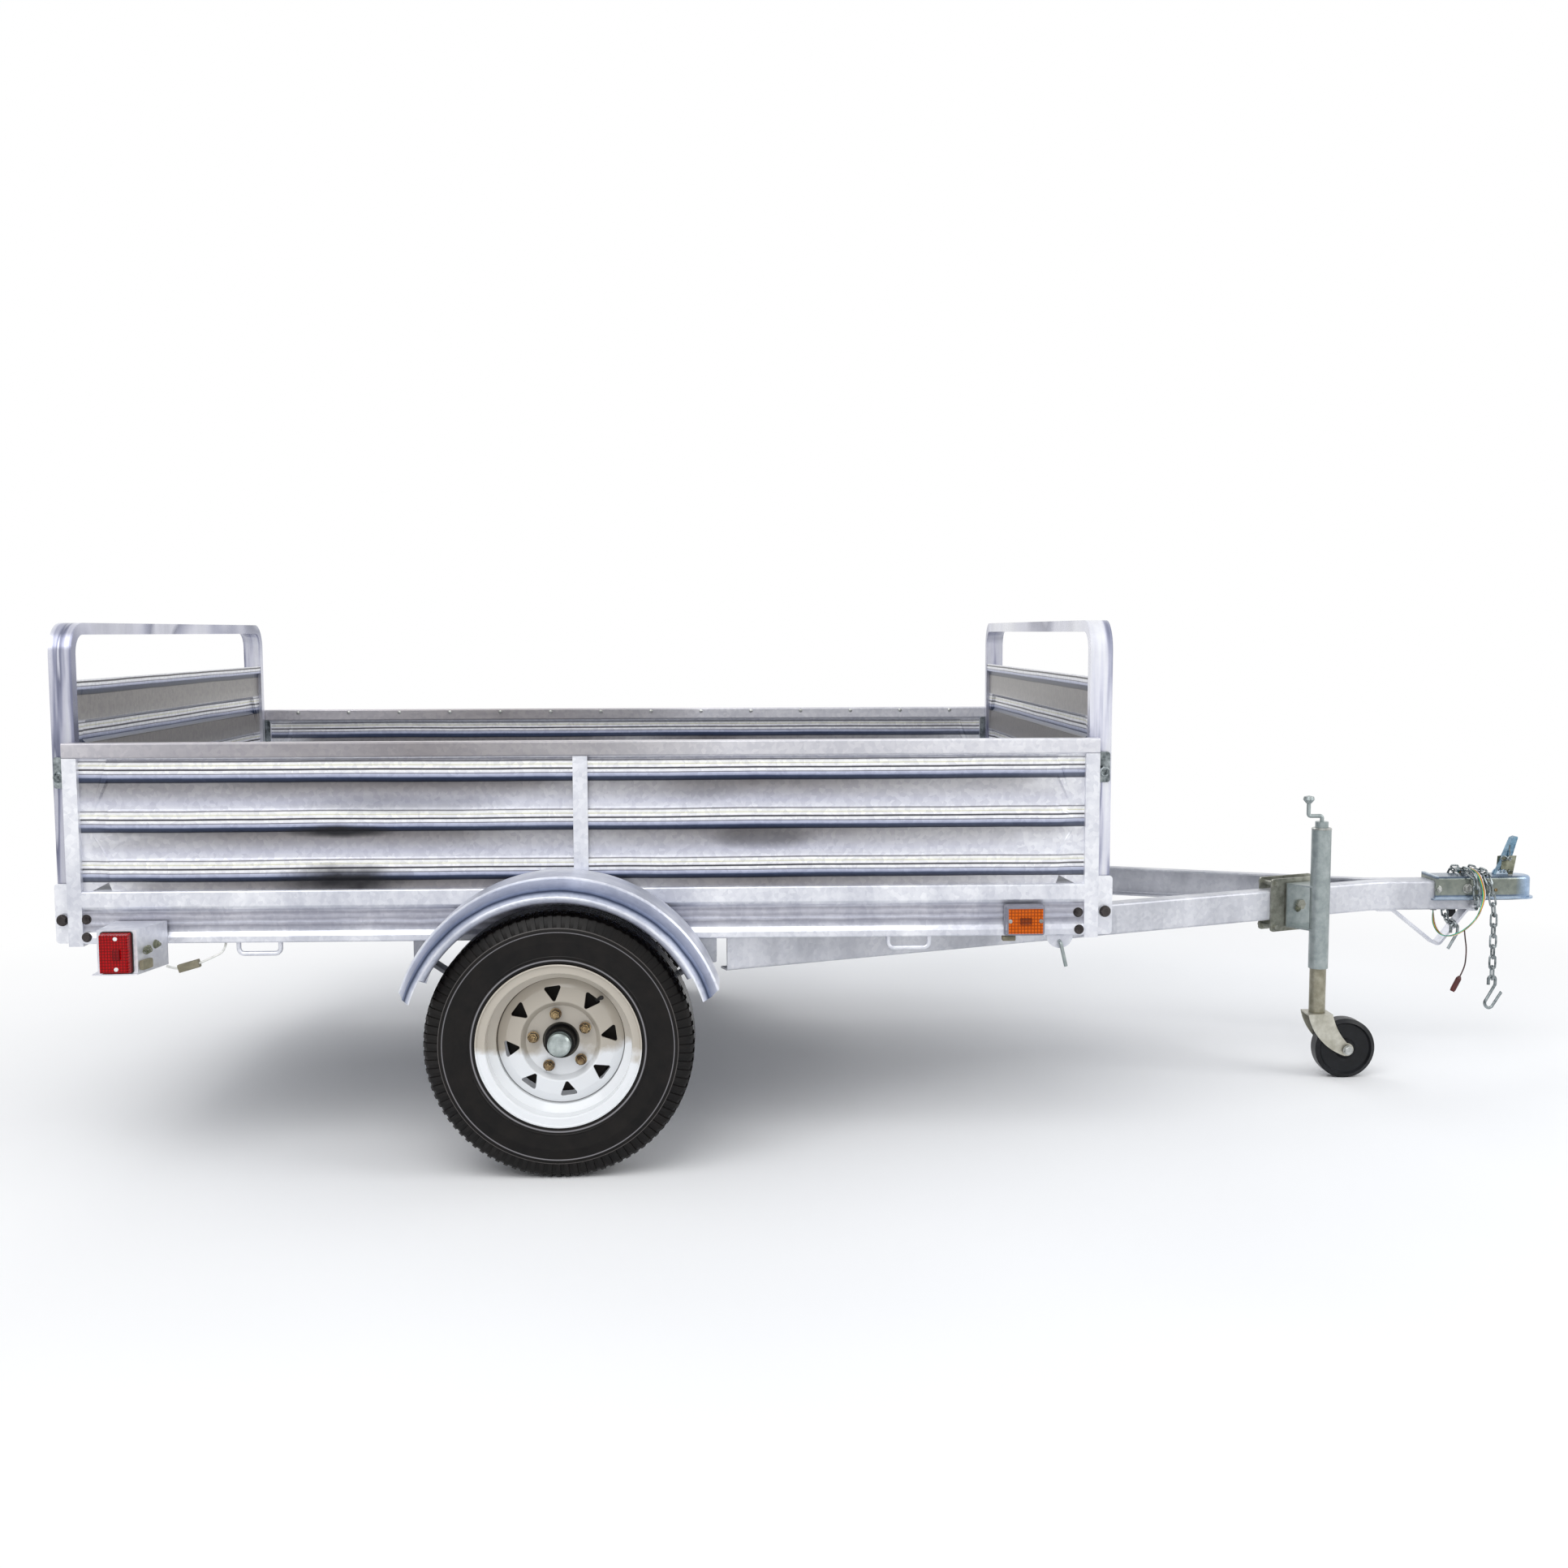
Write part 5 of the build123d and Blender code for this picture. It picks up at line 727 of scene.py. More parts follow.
# (radius from the tread's, distance outwards from the middle plane), from the bead over the tread
SIDEWALL = ((-127, 44), (-122, 52), (-112, 57), (-96, 60.5), (-94, 60.5), (-93, 61.5), (-91, 61.5),
            (-90, 60.8), (-64, 64.4), (-62.5, 65), (-60.5, 65), (-59, 64.4), (-42, 63.4), (-40, 64.4),
            (-34, 63.6), (-32, 62.2), (-9, 56), (-5.5, 53), (-1.2, 47))
SIDEWALL_REACH = 65  # the largest distance above, which falls on the tyre's side
GROOVES = ((30, 6), (10, 5))  # (middle from the tyre's middle plane, width), in millimetres
GROOVE_DEPTH = 6
SIPE_DEPTH = 3.2 * MM
SHOULDER_FOOT, TREAD_EDGE = 31 * MM, 0.8 * MM  # below the tread


def tyre_rings():
    """The closed section of the tyre, bead to bead over the tread and back through the inside"""
    outer = [(TYRE_R + r * MM, y * (TYRE_WIDTH / 2) / SIDEWALL_REACH) for r, y in SIDEWALL]
    tread = []
    for centre, width in GROOVES:
        half_width = width / 2
        for y, drop in ((half_width, 0.3), (half_width - 1, GROOVE_DEPTH), (1 - half_width, GROOVE_DEPTH),
                        (-half_width, 0.3)):
            tread.append((TYRE_R - drop * MM, (centre + y) * MM))
    half = outer + tread
    inside = [(TYRE_R - 118 * MM, 38 * MM), (TYRE_R - 60 * MM, 52 * MM), (TYRE_R - 14 * MM, 40 * MM)]
    return half + [(r, -y) for r, y in reversed(half)] + [(r, -y) for r, y in inside] + inside[::-1]


def make_tyre():
    """One tyre about Z, its outer side up"""
    tyre = turned("tyre", tyre_rings(), 2 * TYRE_SIPES, closed=True)
    step = math.pi / TYRE_SIPES
    bpy.ops.object.mode_set(mode="EDIT")

    def sipe(centre, _):
        """Every other face of the shoulders and of the tread's edges"""
        turn = math.atan2(centre.y, centre.x)
        drop = TYRE_R - centre.xy.length
        on_shoulder = TREAD_EDGE < drop < SHOULDER_FOOT and abs(centre.z) > 48 * MM
        on_edge = drop < TREAD_EDGE and abs(centre.z) > 35 * MM
        return (on_shoulder or on_edge) and math.floor(turn / step) % 2 == 0

    count = pick_faces(sipe)
    bpy.ops.mesh.extrude_region_shrink_fatten(TRANSFORM_OT_shrink_fatten={"value": -SIPE_DEPTH})
    bpy.ops.object.mode_set(mode="OBJECT")
    print("sipe faces", count, "tyre faces", len(tyre.data.polygons))
    return tyre


tyre = make_tyre()
for side, sign in SIDES:
    own = copy_of(tyre, f"tyre_{side}_moulded")
    aim(own, middle(f"tyre_{side}"), (0, sign, 0))
    settle(own, tyre_rubber, f"wheel_{side}", 28)
    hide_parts(f"tyre_{side}")
bpy.data.objects.remove(tyre)

# %% [markdown]
# ## Fasteners
# Hexagon bolts, nuts, screws and rivets hold the trailer together. A bolt's head is turned with six
# segments and a chamfered top, on a round washer, and a screw or a rivet with more. One of each is made,
# and copied along short tables. A ray finds the face on which a copy sits, so none floats or sinks in.


# %% Heads, nuts and how they are placed
FAR = 2000  # millimetres out from the middle, past every side
HEAD_TURN = 0.4  # each head is turned this much further than the one before, in radians


def hex_head(name, across, height, washer):
    """A hexagon head with a chamfer, standing on its washer, about Z"""
    corner = across / math.sqrt(3)
    head = turned(name, ((corner, 1.4 * MM), (corner, height * 0.82), (corner * 0.86, height),
                         (0, height)), 6)
    plate = turned("washer", ((washer, 0), (washer, 1.2 * MM), (washer * 0.94, 1.5 * MM),
                              (0, 1.5 * MM)), 24)
    return joined([head, plate], name)


def nut_and_stud(name, across, height, stud, reach):
    """A nut on its washer with the stud's end through it"""
    corner = across / math.sqrt(3)
    nut = turned(name, ((corner * 0.9, 0.4 * MM), (corner, 1.5 * MM), (corner, height - 1 * MM),
                        (corner * 0.88, height), (stud, height), (stud, height - 1 * MM)), 6)
    end = turned("stud", ((stud, 0), (stud, reach - 1.5 * MM), (stud * 0.75, reach), (0, reach)), 16)
    plate = turned("washer", ((corner * 1.25, 0), (corner * 1.25, 1 * MM), (corner * 1.1, 1.6 * MM),
                              (0, 1.6 * MM)), 24)
    return joined([nut, end, plate], name)


def scatter(pattern, name, rows, material, body):
    """Copies of a fastener at the rows (place, axis) as one piece of a body"""
    copies = [aim(copy_of(pattern, f"{name}_{i}"), Vector(place), axis, HEAD_TURN * i)
              for i, (place, axis) in enumerate(rows)]
    settle(joined(copies, name), material, body)
    print(name, len(rows))


def seat(node, place, towards):
    """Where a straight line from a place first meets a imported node"""
    hit, found, _, _ = nodes[node].ray_cast(Vector(place), Vector(towards))
    print("seat", node, hit, [round(v, 3) for v in found])
    return found


def side_rows(node, spots):
    """Rows on the outer faces of both sides of a node, from (x from the axle, z) in millimetres"""
    rows = []
    for side, sign in reversed(SIDES):
        for x, z in spots:
            rows.append((seat(node.format(side), at(x, sign * FAR, z), (0, -sign, 0)), (0, sign, 0)))
    return rows


# %% The fasteners in their places
m10_head = hex_head("m10_head", 16 * MM, 7 * MM, 10.5 * MM)
m12_head = hex_head("m12_head", 19 * MM, 8 * MM, 12.5 * MM)
m8_nut = nut_and_stud("m8_nut", 13 * MM, 7 * MM, 4 * MM, 12 * MM)
m12_nut = nut_and_stud("m12_nut", 17 * MM, 11 * MM, 6 * MM, 17 * MM)
rivet = turned("rivet", ((5.5 * MM, 0), (5.1 * MM, 1.6 * MM), (3.2 * MM, 2.9 * MM), (0, 3.3 * MM)), 10)
screw = turned("screw", ((4.4 * MM, 0), (4.4 * MM, 1.4 * MM), (3.5 * MM, 2.4 * MM), (1.3 * MM, 2.6 * MM),
                         (1.0 * MM, 1.4 * MM), (0, 1.4 * MM)), 16)

# (pattern, piece, node it stands on, (x from the axle, z) in millimetres, finish)
SIDE_BOLTS = (
    (m10_head, "rail_bolts", "side_rail_{}", ((-1007, 517), (-1005, 480), (1101, 514), (1102, 478)),
     dark_bolt),
    (m12_head, "hinge_bolts", "gate_hinges", ((-1063, 513), (1163, 513)), dark_bolt),
    (m12_head, "coupler_bolts", "coupler", ((2277, 445),), zinc_bolt),
    (m8_nut, "coupler_nuts", "coupler", ((2200, 444),), zinc_bolt),
    (screw, "coupler_pins", "coupler", ((2352, 441),), brass_plate),
    (screw, "marker_screws", "side_markers", ((950, 500), (1016, 500)), zinc_bolt),
    (screw, "tail_lamp_screws", "tail_lamps", ((-898, 500), (-898, 437)), white_screw),
)
for pattern, name, node, spots, finish in SIDE_BOLTS:
    scatter(pattern, name, side_rows(node, spots), finish, "trailer")
CASTER = middle("caster_wheel")
scatter(m12_head, "caster_bolt", [(seat("caster_fork", (CASTER.x, CASTER.y + sign, CASTER.z), (0, -sign, 0)),
                                   (0, sign, 0)) for sign in (-1, 1)], zinc_bolt, "caster_fork")
scatter(m8_nut, "swivel_bolt", [(seat("jack_tube", at(1789, -1000, 417), (0, 1, 0)), (0, -1, 0))],
        olive_plate, "jack")
RIVET_PITCH = 150 * MM
RIVET_COUNT = 14
RIVET_X = AXLE_X - 0.93  # the rearmost rivet of a rail
rivet_rows = []
for side, sign in reversed(SIDES):
    for i in range(RIVET_COUNT):
        start = (RIVET_X + i * RIVET_PITCH, 0, SIDE_TOP_Z - 9 * MM)
        rivet_rows.append((seat(f"top_rail_{side}", start, (0, sign, 0)), (0, -sign, 0)))
scatter(rivet, "rail_rivets", rivet_rows, zinc_bolt, "trailer")

# %% [markdown]
# ## Wheel nuts and valves
# Five nuts in yellow passivate hold each wheel on its studs, and a rubber valve stands in the well. They
# sit where the hub's studs come through the wheel.

# %% Wheel nuts and valves
LUG_CIRCLE_R = 57.15 * MM
LUG_TURN = math.radians(-10)
NUT_COUNT = 5
NUT_SET = 15 * MM  # from the studs' ends back to the nuts' seats
STUD_R = 6 * MM  # corners of the hub this near the lug circle belong to a stud
VALVE_R = 112 * MM
VALVE_TURN = math.radians(42)


def stud_end(side):
    """How far the studs reach along Y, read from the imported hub"""
    ends = [v.co.y for v in nodes[f"hub_{side}"].data.vertices
            if abs(math.hypot(v.co.x - AXLE_X, v.co.z - HUB_Z) - LUG_CIRCLE_R) < STUD_R]
    return max(ends) if side == "left" else min(ends)


def wheel_nuts(side, sign):
    """Rows for the nuts of a wheel, their faces towards the outside"""
    y = stud_end(side) - sign * NUT_SET
    turns = [LUG_TURN + i * 2 * math.pi / NUT_COUNT for i in range(NUT_COUNT)]
    return [((AXLE_X - sign * LUG_CIRCLE_R * math.sin(t), y, HUB_Z + LUG_CIRCLE_R * math.cos(t)),
             (0, sign, 0)) for t in turns]


valve = turned("valve", ((5.5 * MM, 0), (5.5 * MM, 6 * MM), (3.6 * MM, 9 * MM), (3.6 * MM, 24 * MM),
                         (4.4 * MM, 25 * MM), (4.4 * MM, 34 * MM), (0, 34 * MM)), 16)
for side, sign in SIDES:
    scatter(m12_nut, f"wheel_nuts_{side}", wheel_nuts(side, sign), brass_plate, f"wheel_{side}")
    foot = (AXLE_X - sign * VALVE_R * math.sin(VALVE_TURN), middle(f"rim_{side}").y - sign * 2 * MM,
            HUB_Z + VALVE_R * math.cos(VALVE_TURN))
    stem = aim(copy_of(valve, f"valve_{side}"), Vector(foot), (sign * -0.35, sign * 0.9, 0.3))
    settle(stem, black_rubber, f"wheel_{side}")

# %% [markdown]
# ## Dark dishes of painted shade behind the hubs, and the jack's collar
# Behind each wheel a dark dish is painted shade: it stands in for the shade under the trailer that makes the
# wheel's windows dark. It is a shallow dish turned about the axle. The jack's tube ends in a turned collar
# round its neck.

# %% Dark dishes of painted shade behind the hubs, and the jack's collar
# (radius, height) in millimetres round the dish's section
SHADE_DISH = ((36, 0), (70, 0), (76, 4), (112, 4), (118, 0), (118, -16), (115.5, -16), (115.5, -1), (110, 1.5),
          (77, 1.5), (71, -2.5), (36, -2.5))
shade_dish_pattern = turned("shade_dish_pattern", [(r * MM, z * MM) for r, z in SHADE_DISH], 48, closed=True)
SHADE_DISH_SET = 34 * MM
for side, sign in SIDES:
    own = copy_of(shade_dish_pattern, f"hub_shield_{side}")
    aim(own, middle(f"rim_{side}") - Vector((0, sign * SHADE_DISH_SET, 0)), (0, sign, 0))
    settle(own, shade_dish_black, f"wheel_{side}")
bpy.data.objects.remove(shade_dish_pattern)
print("shade_dishes at", round(middle("rim_left").y - SHADE_DISH_SET, 4))

COLLAR_Z = 625.1 * MM
neck = middle("jack_leg")
collar = turned("jack_collar", ((16.5 * MM, 0), (24.6 * MM, 0), (24.6 * MM, 3 * MM), (22 * MM, 5 * MM),
                                (16.5 * MM, 5 * MM)), 32, closed=True)
aim(collar, Vector((neck.x, neck.y, COLLAR_Z)), (0, 0, 1))
settle(collar, zinc_bolt, "jack")
print("collar at", COLLAR_Z)

# %% [markdown]
# ## Lamp fittings
# The lenses have a raised rim and a raised oblong in the middle, where the mould thickens over the bulb. A
# plug block, a spring clip and a bolt sit on the front wall of each lamp box, and a small plug hangs under
# the rail by the side marker. Each block is a cube, sized, inset on the face that shows and bevelled. The
# clip's coil is a few rings of wire, leaning by turns to either side.


# %% Lamp fittings
def block(name, size, round_edge, inset=0.0, sink=0.0):
    """A bevelled block about its middle; its -Y face may be inset and pushed in or out"""
    bpy.ops.object.select_all(action="DESELECT")
    bpy.ops.mesh.primitive_cube_add(size=1, location=(0, 0, 0))
    piece = bpy.context.object
    piece.name = name
    piece.scale = size
    bpy.ops.object.transform_apply(location=False, rotation=False, scale=True)
    bpy.ops.object.mode_set(mode="EDIT")
    if inset:
        pick_faces(lambda _, normal: normal.y < -0.9)
        bpy.ops.mesh.inset(thickness=inset)
        bpy.ops.transform.translate(value=(0, sink, 0))
    bpy.ops.object.mode_set(mode="OBJECT")
    bevel = piece.modifiers.new("round", "BEVEL")
    bevel.width, bevel.segments, bevel.limit_method = round_edge, 2, "ANGLE"
    bpy.ops.object.modifier_apply(modifier=bevel.name)
    return piece


def place_block(piece, place, sign, turn=0.0):
    """Turns a block's -Y face to the trailer's side, and about Z by a further angle"""
    piece.matrix_world = Matrix.Translation(place) @ Matrix.Rotation(math.pi * (sign > 0) + turn, 4, "Z")
    return piece


# %% Rims and oblongs of the lenses
# (name, node it stands on, x from the axle, z, width, height, thickness, rim, sink, finish)
LENS_EDGE = 0.6 * MM
LENS_RISE = 0.3  # how far a rim's middle stands off the lens, as a share of its thickness
LENS_PARTS = (("tail_lamp_rim", "tail_lamps", -903, 468, 54, 75, 3.0, 5.0, 2.2, red_lens),
              ("tail_lamp_oblong", "tail_lamps", -897, 467, 15, 21, 4.0, 2.0, -0.8, red_dark),
              ("marker_rim", "side_markers", 983, 500, 76, 56, 3.0, 4.0, 2.2, amber_lens),
              ("marker_oblong", "side_markers", 983, 500, 25, 14, 4.6, 3.0, 2.0, amber_dark))
for name, node, x, z, width, height, thick, rim, sink, finish in LENS_PARTS:
    pair = []
    for sign in (-1, 1):
        spot = seat(node, at(x, sign * FAR, z), (0, -sign, 0))
        piece = block(name, (width * MM, thick * MM, height * MM), LENS_EDGE, rim * MM, sink * MM)
        pair.append(place_block(piece, spot + Vector((0, sign * thick * LENS_RISE * MM, 0)), sign))
    settle(joined(pair, name), finish, "trailer")

# %% Plug blocks, bolts and clips
# (x, y, z) of the plug block, the bolt and the spring clip, on the front wall of the left lamp box
PLUG_SPOT, BOLT_SPOT, CLIP_SPOT = (-857.4, 843, 440), (-847.2, 800, 473), (-856, 838, 467)
WALL_X, WALL_Y = 0.972, 0.233  # that wall's outward direction
WALL_PLUG_SIZE, RAIL_PLUG_SIZE = Vector((36, 11, 20)) * MM, Vector((29, 16, 12)) * MM
PLUG_EDGE, PLUG_RIM, PLUG_SINK = 2.5 * MM, 3 * MM, 1.5 * MM
RAIL_PLUG_X, RAIL_PLUG_Y, RAIL_PLUG_DROP = 952, 742, 6.4
CLIP_TURNS, CLIP_R, CLIP_WIRE_R, CLIP_PITCH = 5, 5.5 * MM, 1.3 * MM, 5 * MM
CLIP_LEAN, CLIP_STAGGER = 14, 4 * MM  # the lean is in degrees
for side, sign in SIDES:
    wall = Vector((WALL_X, sign * WALL_Y, 0))
    turn = math.atan2(wall.y, wall.x) + math.pi / 2
    spots = [at(x, sign * y, z) for x, y, z in (PLUG_SPOT, BOLT_SPOT, CLIP_SPOT)]
    plug = block(f"lamp_plug_{side}", WALL_PLUG_SIZE, PLUG_EDGE, PLUG_RIM, PLUG_SINK)
    plug.matrix_world = Matrix.Translation(spots[0] + wall * 5.8 * MM) @ Matrix.Rotation(turn, 4, "Z")
    settle(plug, grey_plug, "trailer")
    scatter(m8_nut, f"lamp_bolt_{side}", [(spots[1] + wall * 0.2 * MM, wall)], olive_plate, "trailer")
    turns = []
    for i in range(CLIP_TURNS):
        bpy.ops.object.select_all(action="DESELECT")
        bpy.ops.mesh.primitive_torus_add(major_radius=CLIP_R, minor_radius=CLIP_WIRE_R, major_segments=20,
                                         minor_segments=8, location=(0, 0, 0))
        ring = bpy.context.object
        lean = Matrix.Rotation(math.radians(90 + CLIP_LEAN * (-1) ** i), 4, "X")
        step = Vector((0, sign * (i - CLIP_TURNS // 2) * CLIP_PITCH, (i % 2) * CLIP_STAGGER))
        ring.matrix_world = Matrix.Translation(spots[2] + wall * 6.5 * MM + step) @ lean
        turns.append(ring)
    settle(joined(turns, f"lamp_clip_{side}"), olive_plate, "trailer", 60)
    plug = block(f"marker_plug_{side}", RAIL_PLUG_SIZE, PLUG_EDGE, PLUG_RIM, -PLUG_SINK)
    place_block(plug, at(RAIL_PLUG_X, sign * RAIL_PLUG_Y, FRAME_Z / MM - RAIL_PLUG_DROP), sign)
    settle(plug, grey_plug, "trailer")
print("lamp fittings on both sides")

# %% [markdown]
# ## The coupler's latch
# The lever is held by a plate on each side of its foot, with a cotter, a pin and a coil spring. The plates
# are blocks whose upper end is drawn in and forwards, and the wire parts are bevelled curves turned into
# meshes.


# %% Wire as a curve
def nurbs(name, points, bevel, point_radius, steps):
    """A curve of order 3 with a round section, which starts and ends on its end points"""
    curve = bpy.data.curves.new(name, "CURVE")
    curve.dimensions = "3D"
    curve.bevel_depth = bevel
    curve.bevel_resolution = 3
    curve.resolution_u = steps
    curve.use_fill_caps = True
    spline = curve.splines.new("NURBS")
    spline.points.add(len(points) - 1)
    for point, place in zip(spline.points, points):
        point.co = (*place, 1)
        point.radius = point_radius
    spline.order_u = 3
    spline.use_endpoint_u = True
    wire = bpy.data.objects.new(name, curve)
    bpy.context.scene.collection.objects.link(wire)
    return wire


def rod(name, points, radius):
    """A bent wire through the points, as a mesh"""
    only(nurbs(name, points, radius, 1.0, 8))
    bpy.ops.object.convert(target="MESH")
    return bpy.context.object


# %% The coupler's latch
PLATE_SIZE = Vector((34, 3, 50)) * MM
PLATE_TOP, PLATE_LEAN = 0.55, 16 * MM  # how narrow its top is, and how far forwards it stands
COTTER = ((2397, 556), (2396, 545), (2399, 532), (2394, 520), (2381, 513), (2373, 519), (2379, 528),
          (2392, 524), (2400, 514))  # (x from the axle, z) along it, in millimetres
SPRING_REAR, SPRING_STEP, SPRING_R = 2370, 2.4, 5  # a step is a quarter of a turn

latch_plates = []
for sign in (-1, 1):
    plate = block("latch_plate", PLATE_SIZE, 0.8 * MM, 4 * MM, 0.6 * MM)
    bpy.ops.object.mode_set(mode="EDIT")
    pick_faces(lambda centre, _: centre.z > PLATE_SIZE.z / 2 - 2 * MM)
    bpy.ops.transform.resize(value=(PLATE_TOP, 1, 1))
    bpy.ops.transform.translate(value=(PLATE_LEAN, 0, 0))
    bpy.ops.object.mode_set(mode="OBJECT")
    latch_plates.append(place_block(plate, at(2392, sign * 13.2, 502), -1))
settle(joined(latch_plates, "latch_plates"), olive_plate, "trailer")
cotter = rod("latch_cotter", [at(x, -17, z) for x, z in COTTER], 1.8 * MM)
coil = [at(SPRING_REAR + SPRING_STEP * i, -16 + SPRING_R * math.sin(i * math.pi / 2),
           487 + SPRING_R * math.cos(i * math.pi / 2)) for i in range(16)]
spring = rod("latch_spring", coil, 1.3 * MM)
pin = rod("latch_pin", [at(2401, -19, 520), at(2401, 0, 520), at(2401, 19, 520)], 2.6 * MM)
settle(joined([cotter, spring, pin], "latch_wires"), zinc_chain, "trailer", 60)
print("latch plates and wires made")

# %% [markdown]
# ## Chains
# The safety chains are welded links of round wire. One link is a torus whose ends are pulled apart. The
# packed links are plain hexagons in the right places, so each round link takes its place and lie from one
# of them: its length runs to the end that lies furthest from the middle, and its width square to that.

# %% One round link
LINK_WIRE_R = 2.7 * MM
LINK_HALF_WIDTH = 10.5 * MM
LINK_HALF_LENGTH = 20.8 * MM


def make_link():
    """One link along X, lying flat"""
    bpy.ops.object.select_all(action="DESELECT")
    bpy.ops.mesh.primitive_torus_add(major_radius=LINK_HALF_WIDTH - LINK_WIRE_R, minor_radius=LINK_WIRE_R,
                                     major_segments=20, minor_segments=10, location=(0, 0, 0))
    link = bpy.context.object
    bpy.ops.object.mode_set(mode="EDIT")
    for sign in (-1, 1):
        bpy.ops.mesh.select_all(action="DESELECT")
        mesh = bmesh.from_edit_mesh(link.data)
        for vertex in mesh.verts:
            vertex.select = vertex.co.x * sign > 0.1 * MM  # the ring's half on this side of its middle
        mesh.select_flush(True)
        bmesh.update_edit_mesh(link.data)
        bpy.ops.transform.translate(value=(sign * (LINK_HALF_LENGTH - LINK_HALF_WIDTH), 0, 0))
    bpy.ops.object.mode_set(mode="OBJECT")
    return link


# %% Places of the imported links
LINK_END = 5 * MM  # corners this near the furthest one belong to the same end


def loose_parts(node):
    """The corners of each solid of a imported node, one list for each"""
    twin = copy_of(nodes[node], "loose")
    twin.parent = None
    only(twin)
    bpy.ops.object.mode_set(mode="EDIT")
    bpy.ops.mesh.select_all(action="SELECT")
    bpy.ops.mesh.remove_doubles(threshold=0.00001)
    bpy.ops.mesh.separate(type="LOOSE")
    bpy.ops.object.mode_set(mode="OBJECT")
    parts = [piece for piece in bpy.context.selected_objects if piece.type == "MESH"]
    corners = [[v.co.copy() for v in piece.data.vertices] for piece in parts]
    for piece in parts:
        bpy.data.objects.remove(piece)
    return corners


def lie_of(corners):
    """Middle and axes of a packed link, as a matrix: its length runs to its furthest end"""
    centre = sum(corners, Vector()) / len(corners)
    far = max(corners, key=lambda c: (c - centre).length)
    tip = [c for c in corners if (c - far).length < LINK_END]
    along = (sum(tip, Vector()) / len(tip) - centre).normalized()
    flat = [(c - centre) - along * (c - centre).dot(along) for c in corners]
    across = max(flat, key=lambda v: v.length).normalized()
    across = sum((v if v.dot(across) > 0 else -v for v in flat if abs(v.normalized().dot(across)) > 0.9),
                 Vector()).normalized()
    return Matrix.Translation(centre) @ Matrix((along, across, along.cross(across))).transposed().to_4x4()


# %% The chains
link = make_link()
links = []
for number, corners in enumerate(loose_parts("safety_chains")):
    twin = copy_of(link, f"link_{number}")
    twin.matrix_world = lie_of(corners)
    links.append(twin)
print("links", len(links))
chain = settle(joined(links, "chain_links"), zinc_chain, "trailer", 60)
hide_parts("safety_chains")
bpy.data.objects.remove(link)

# %% [markdown]
# ## Leads
# The lamp harness is four bonded wires that go over the coupler and hang down on the far side. Each wire
# is a smooth NURBS curve on the same few points, set off to its own place across the ribbon. The points
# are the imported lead's route, given from the axle in millimetres.

# %% Routes, and laying a wire
HARNESS_ROUTE = [(2206, 0, 383), (2206, 0, 358), (2208, -16, 334), (2213, -42, 322), (2224, -66, 324),
                 (2243, -80, 335), (2267, -81, 352), (2290, -73, 372), (2306, -66, 399), (2313, -64, 430),
                 (2308, -61, 458), (2305, -47, 481), (2302, -26, 491), (2296, 0, 494), (2295, 28, 488),
                 (2292, 51, 471), (2286, 68, 446), (2280, 73, 416), (2283, 70, 386)]
LEAD_ROUTE = [(2255, -80.5, 343.5), (2257, -81, 322), (2262, -80, 297), (2262, -79, 268), (2259, -79, 243),
              (2248, -79, 221)]
LAMP_ROUTE = [(-839, 762, 418.6), (-818, 762, 411), (-792, 762, 416), (-765, 761, 426), (-740, 757, 437),
              (-720, 751, 447), (-717, 750, 464.2)]
WIRE_R = 1.2 * MM
WIRE_PITCH = 2.2 * MM
LEAD_R = 1.8 * MM
LAMP_LEAD_R = 2.5 * MM
COUPLER_MID_Z = FRAME_Z - 19 * MM


def in_frame(route, sign=1):
    """A route's points in metres; sign -1 mirrors it to the trailer's right side"""
    return [at(x, sign * y, z) for x, y, z in route]


def lay_wire(name, points, radius, material):
    """A wire on the trailer; its thickness is each point's radius, times a bevel of 1"""
    wire = nurbs(name, points, 1.0, radius, 12)
    wire.data.materials.append(material)
    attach(wire, "trailer")
    return wire


# %% Length, and the ribbon's lie
def line_length(wire):
    """The length of a curve's own line, from its mesh without a bevel"""
    bevel, wire.data.bevel_depth = wire.data.bevel_depth, 0
    bpy.context.view_layer.update()
    line = bpy.data.meshes.new_from_object(wire.evaluated_get(bpy.context.evaluated_depsgraph_get()))
    places = [v.co for v in line.vertices]
    wire.data.bevel_depth = bevel
    return sum((b - a).length for a, b in zip(places, places[1:]))


def ribbon_side(points, index):
    """Across the ribbon at a point: square to the run, and lying against the coupler's middle"""
    before, after = points[max(index - 1, 0)], points[min(index + 1, len(points) - 1)]
    run = (after - before).normalized()
    outwards = points[index] - Vector((points[index].x, 0, COUPLER_MID_Z))
    if outwards.length < 1 * MM:
        outwards = Vector((0, -1, 0))
    side = run.cross(outwards).normalized()
    return side if side.dot(Vector((1, 0, -1))) > 0 else -side


# %% The leads in their places
harness = in_frame(HARNESS_ROUTE)
for number, (colour, _, _) in enumerate(WIRES):
    set_off = (number - 1.5) * WIRE_PITCH
    points = [place + ribbon_side(harness, i) * set_off for i, place in enumerate(harness)]
    wire = lay_wire(f"harness_wire_{colour}", points, WIRE_R, wire_sheaths[colour])
    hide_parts("wiring_harness")
    line_length(wire)
    print(wire.name, round(line_length(wire), 4))

lead_points = in_frame(LEAD_ROUTE)
lead = lay_wire("earth_lead", lead_points, LEAD_R, lead_sheath)
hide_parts("wiring_lead")
line_length(lead)
for side, sign in SIDES:
    lamp_points = in_frame(LAMP_ROUTE, sign)
    lamp_lead = lay_wire(f"lamp_lead_{side}", lamp_points, LAMP_LEAD_R, lamp_sheath)
    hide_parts("lamp_leads")
    line_length(lamp_lead)

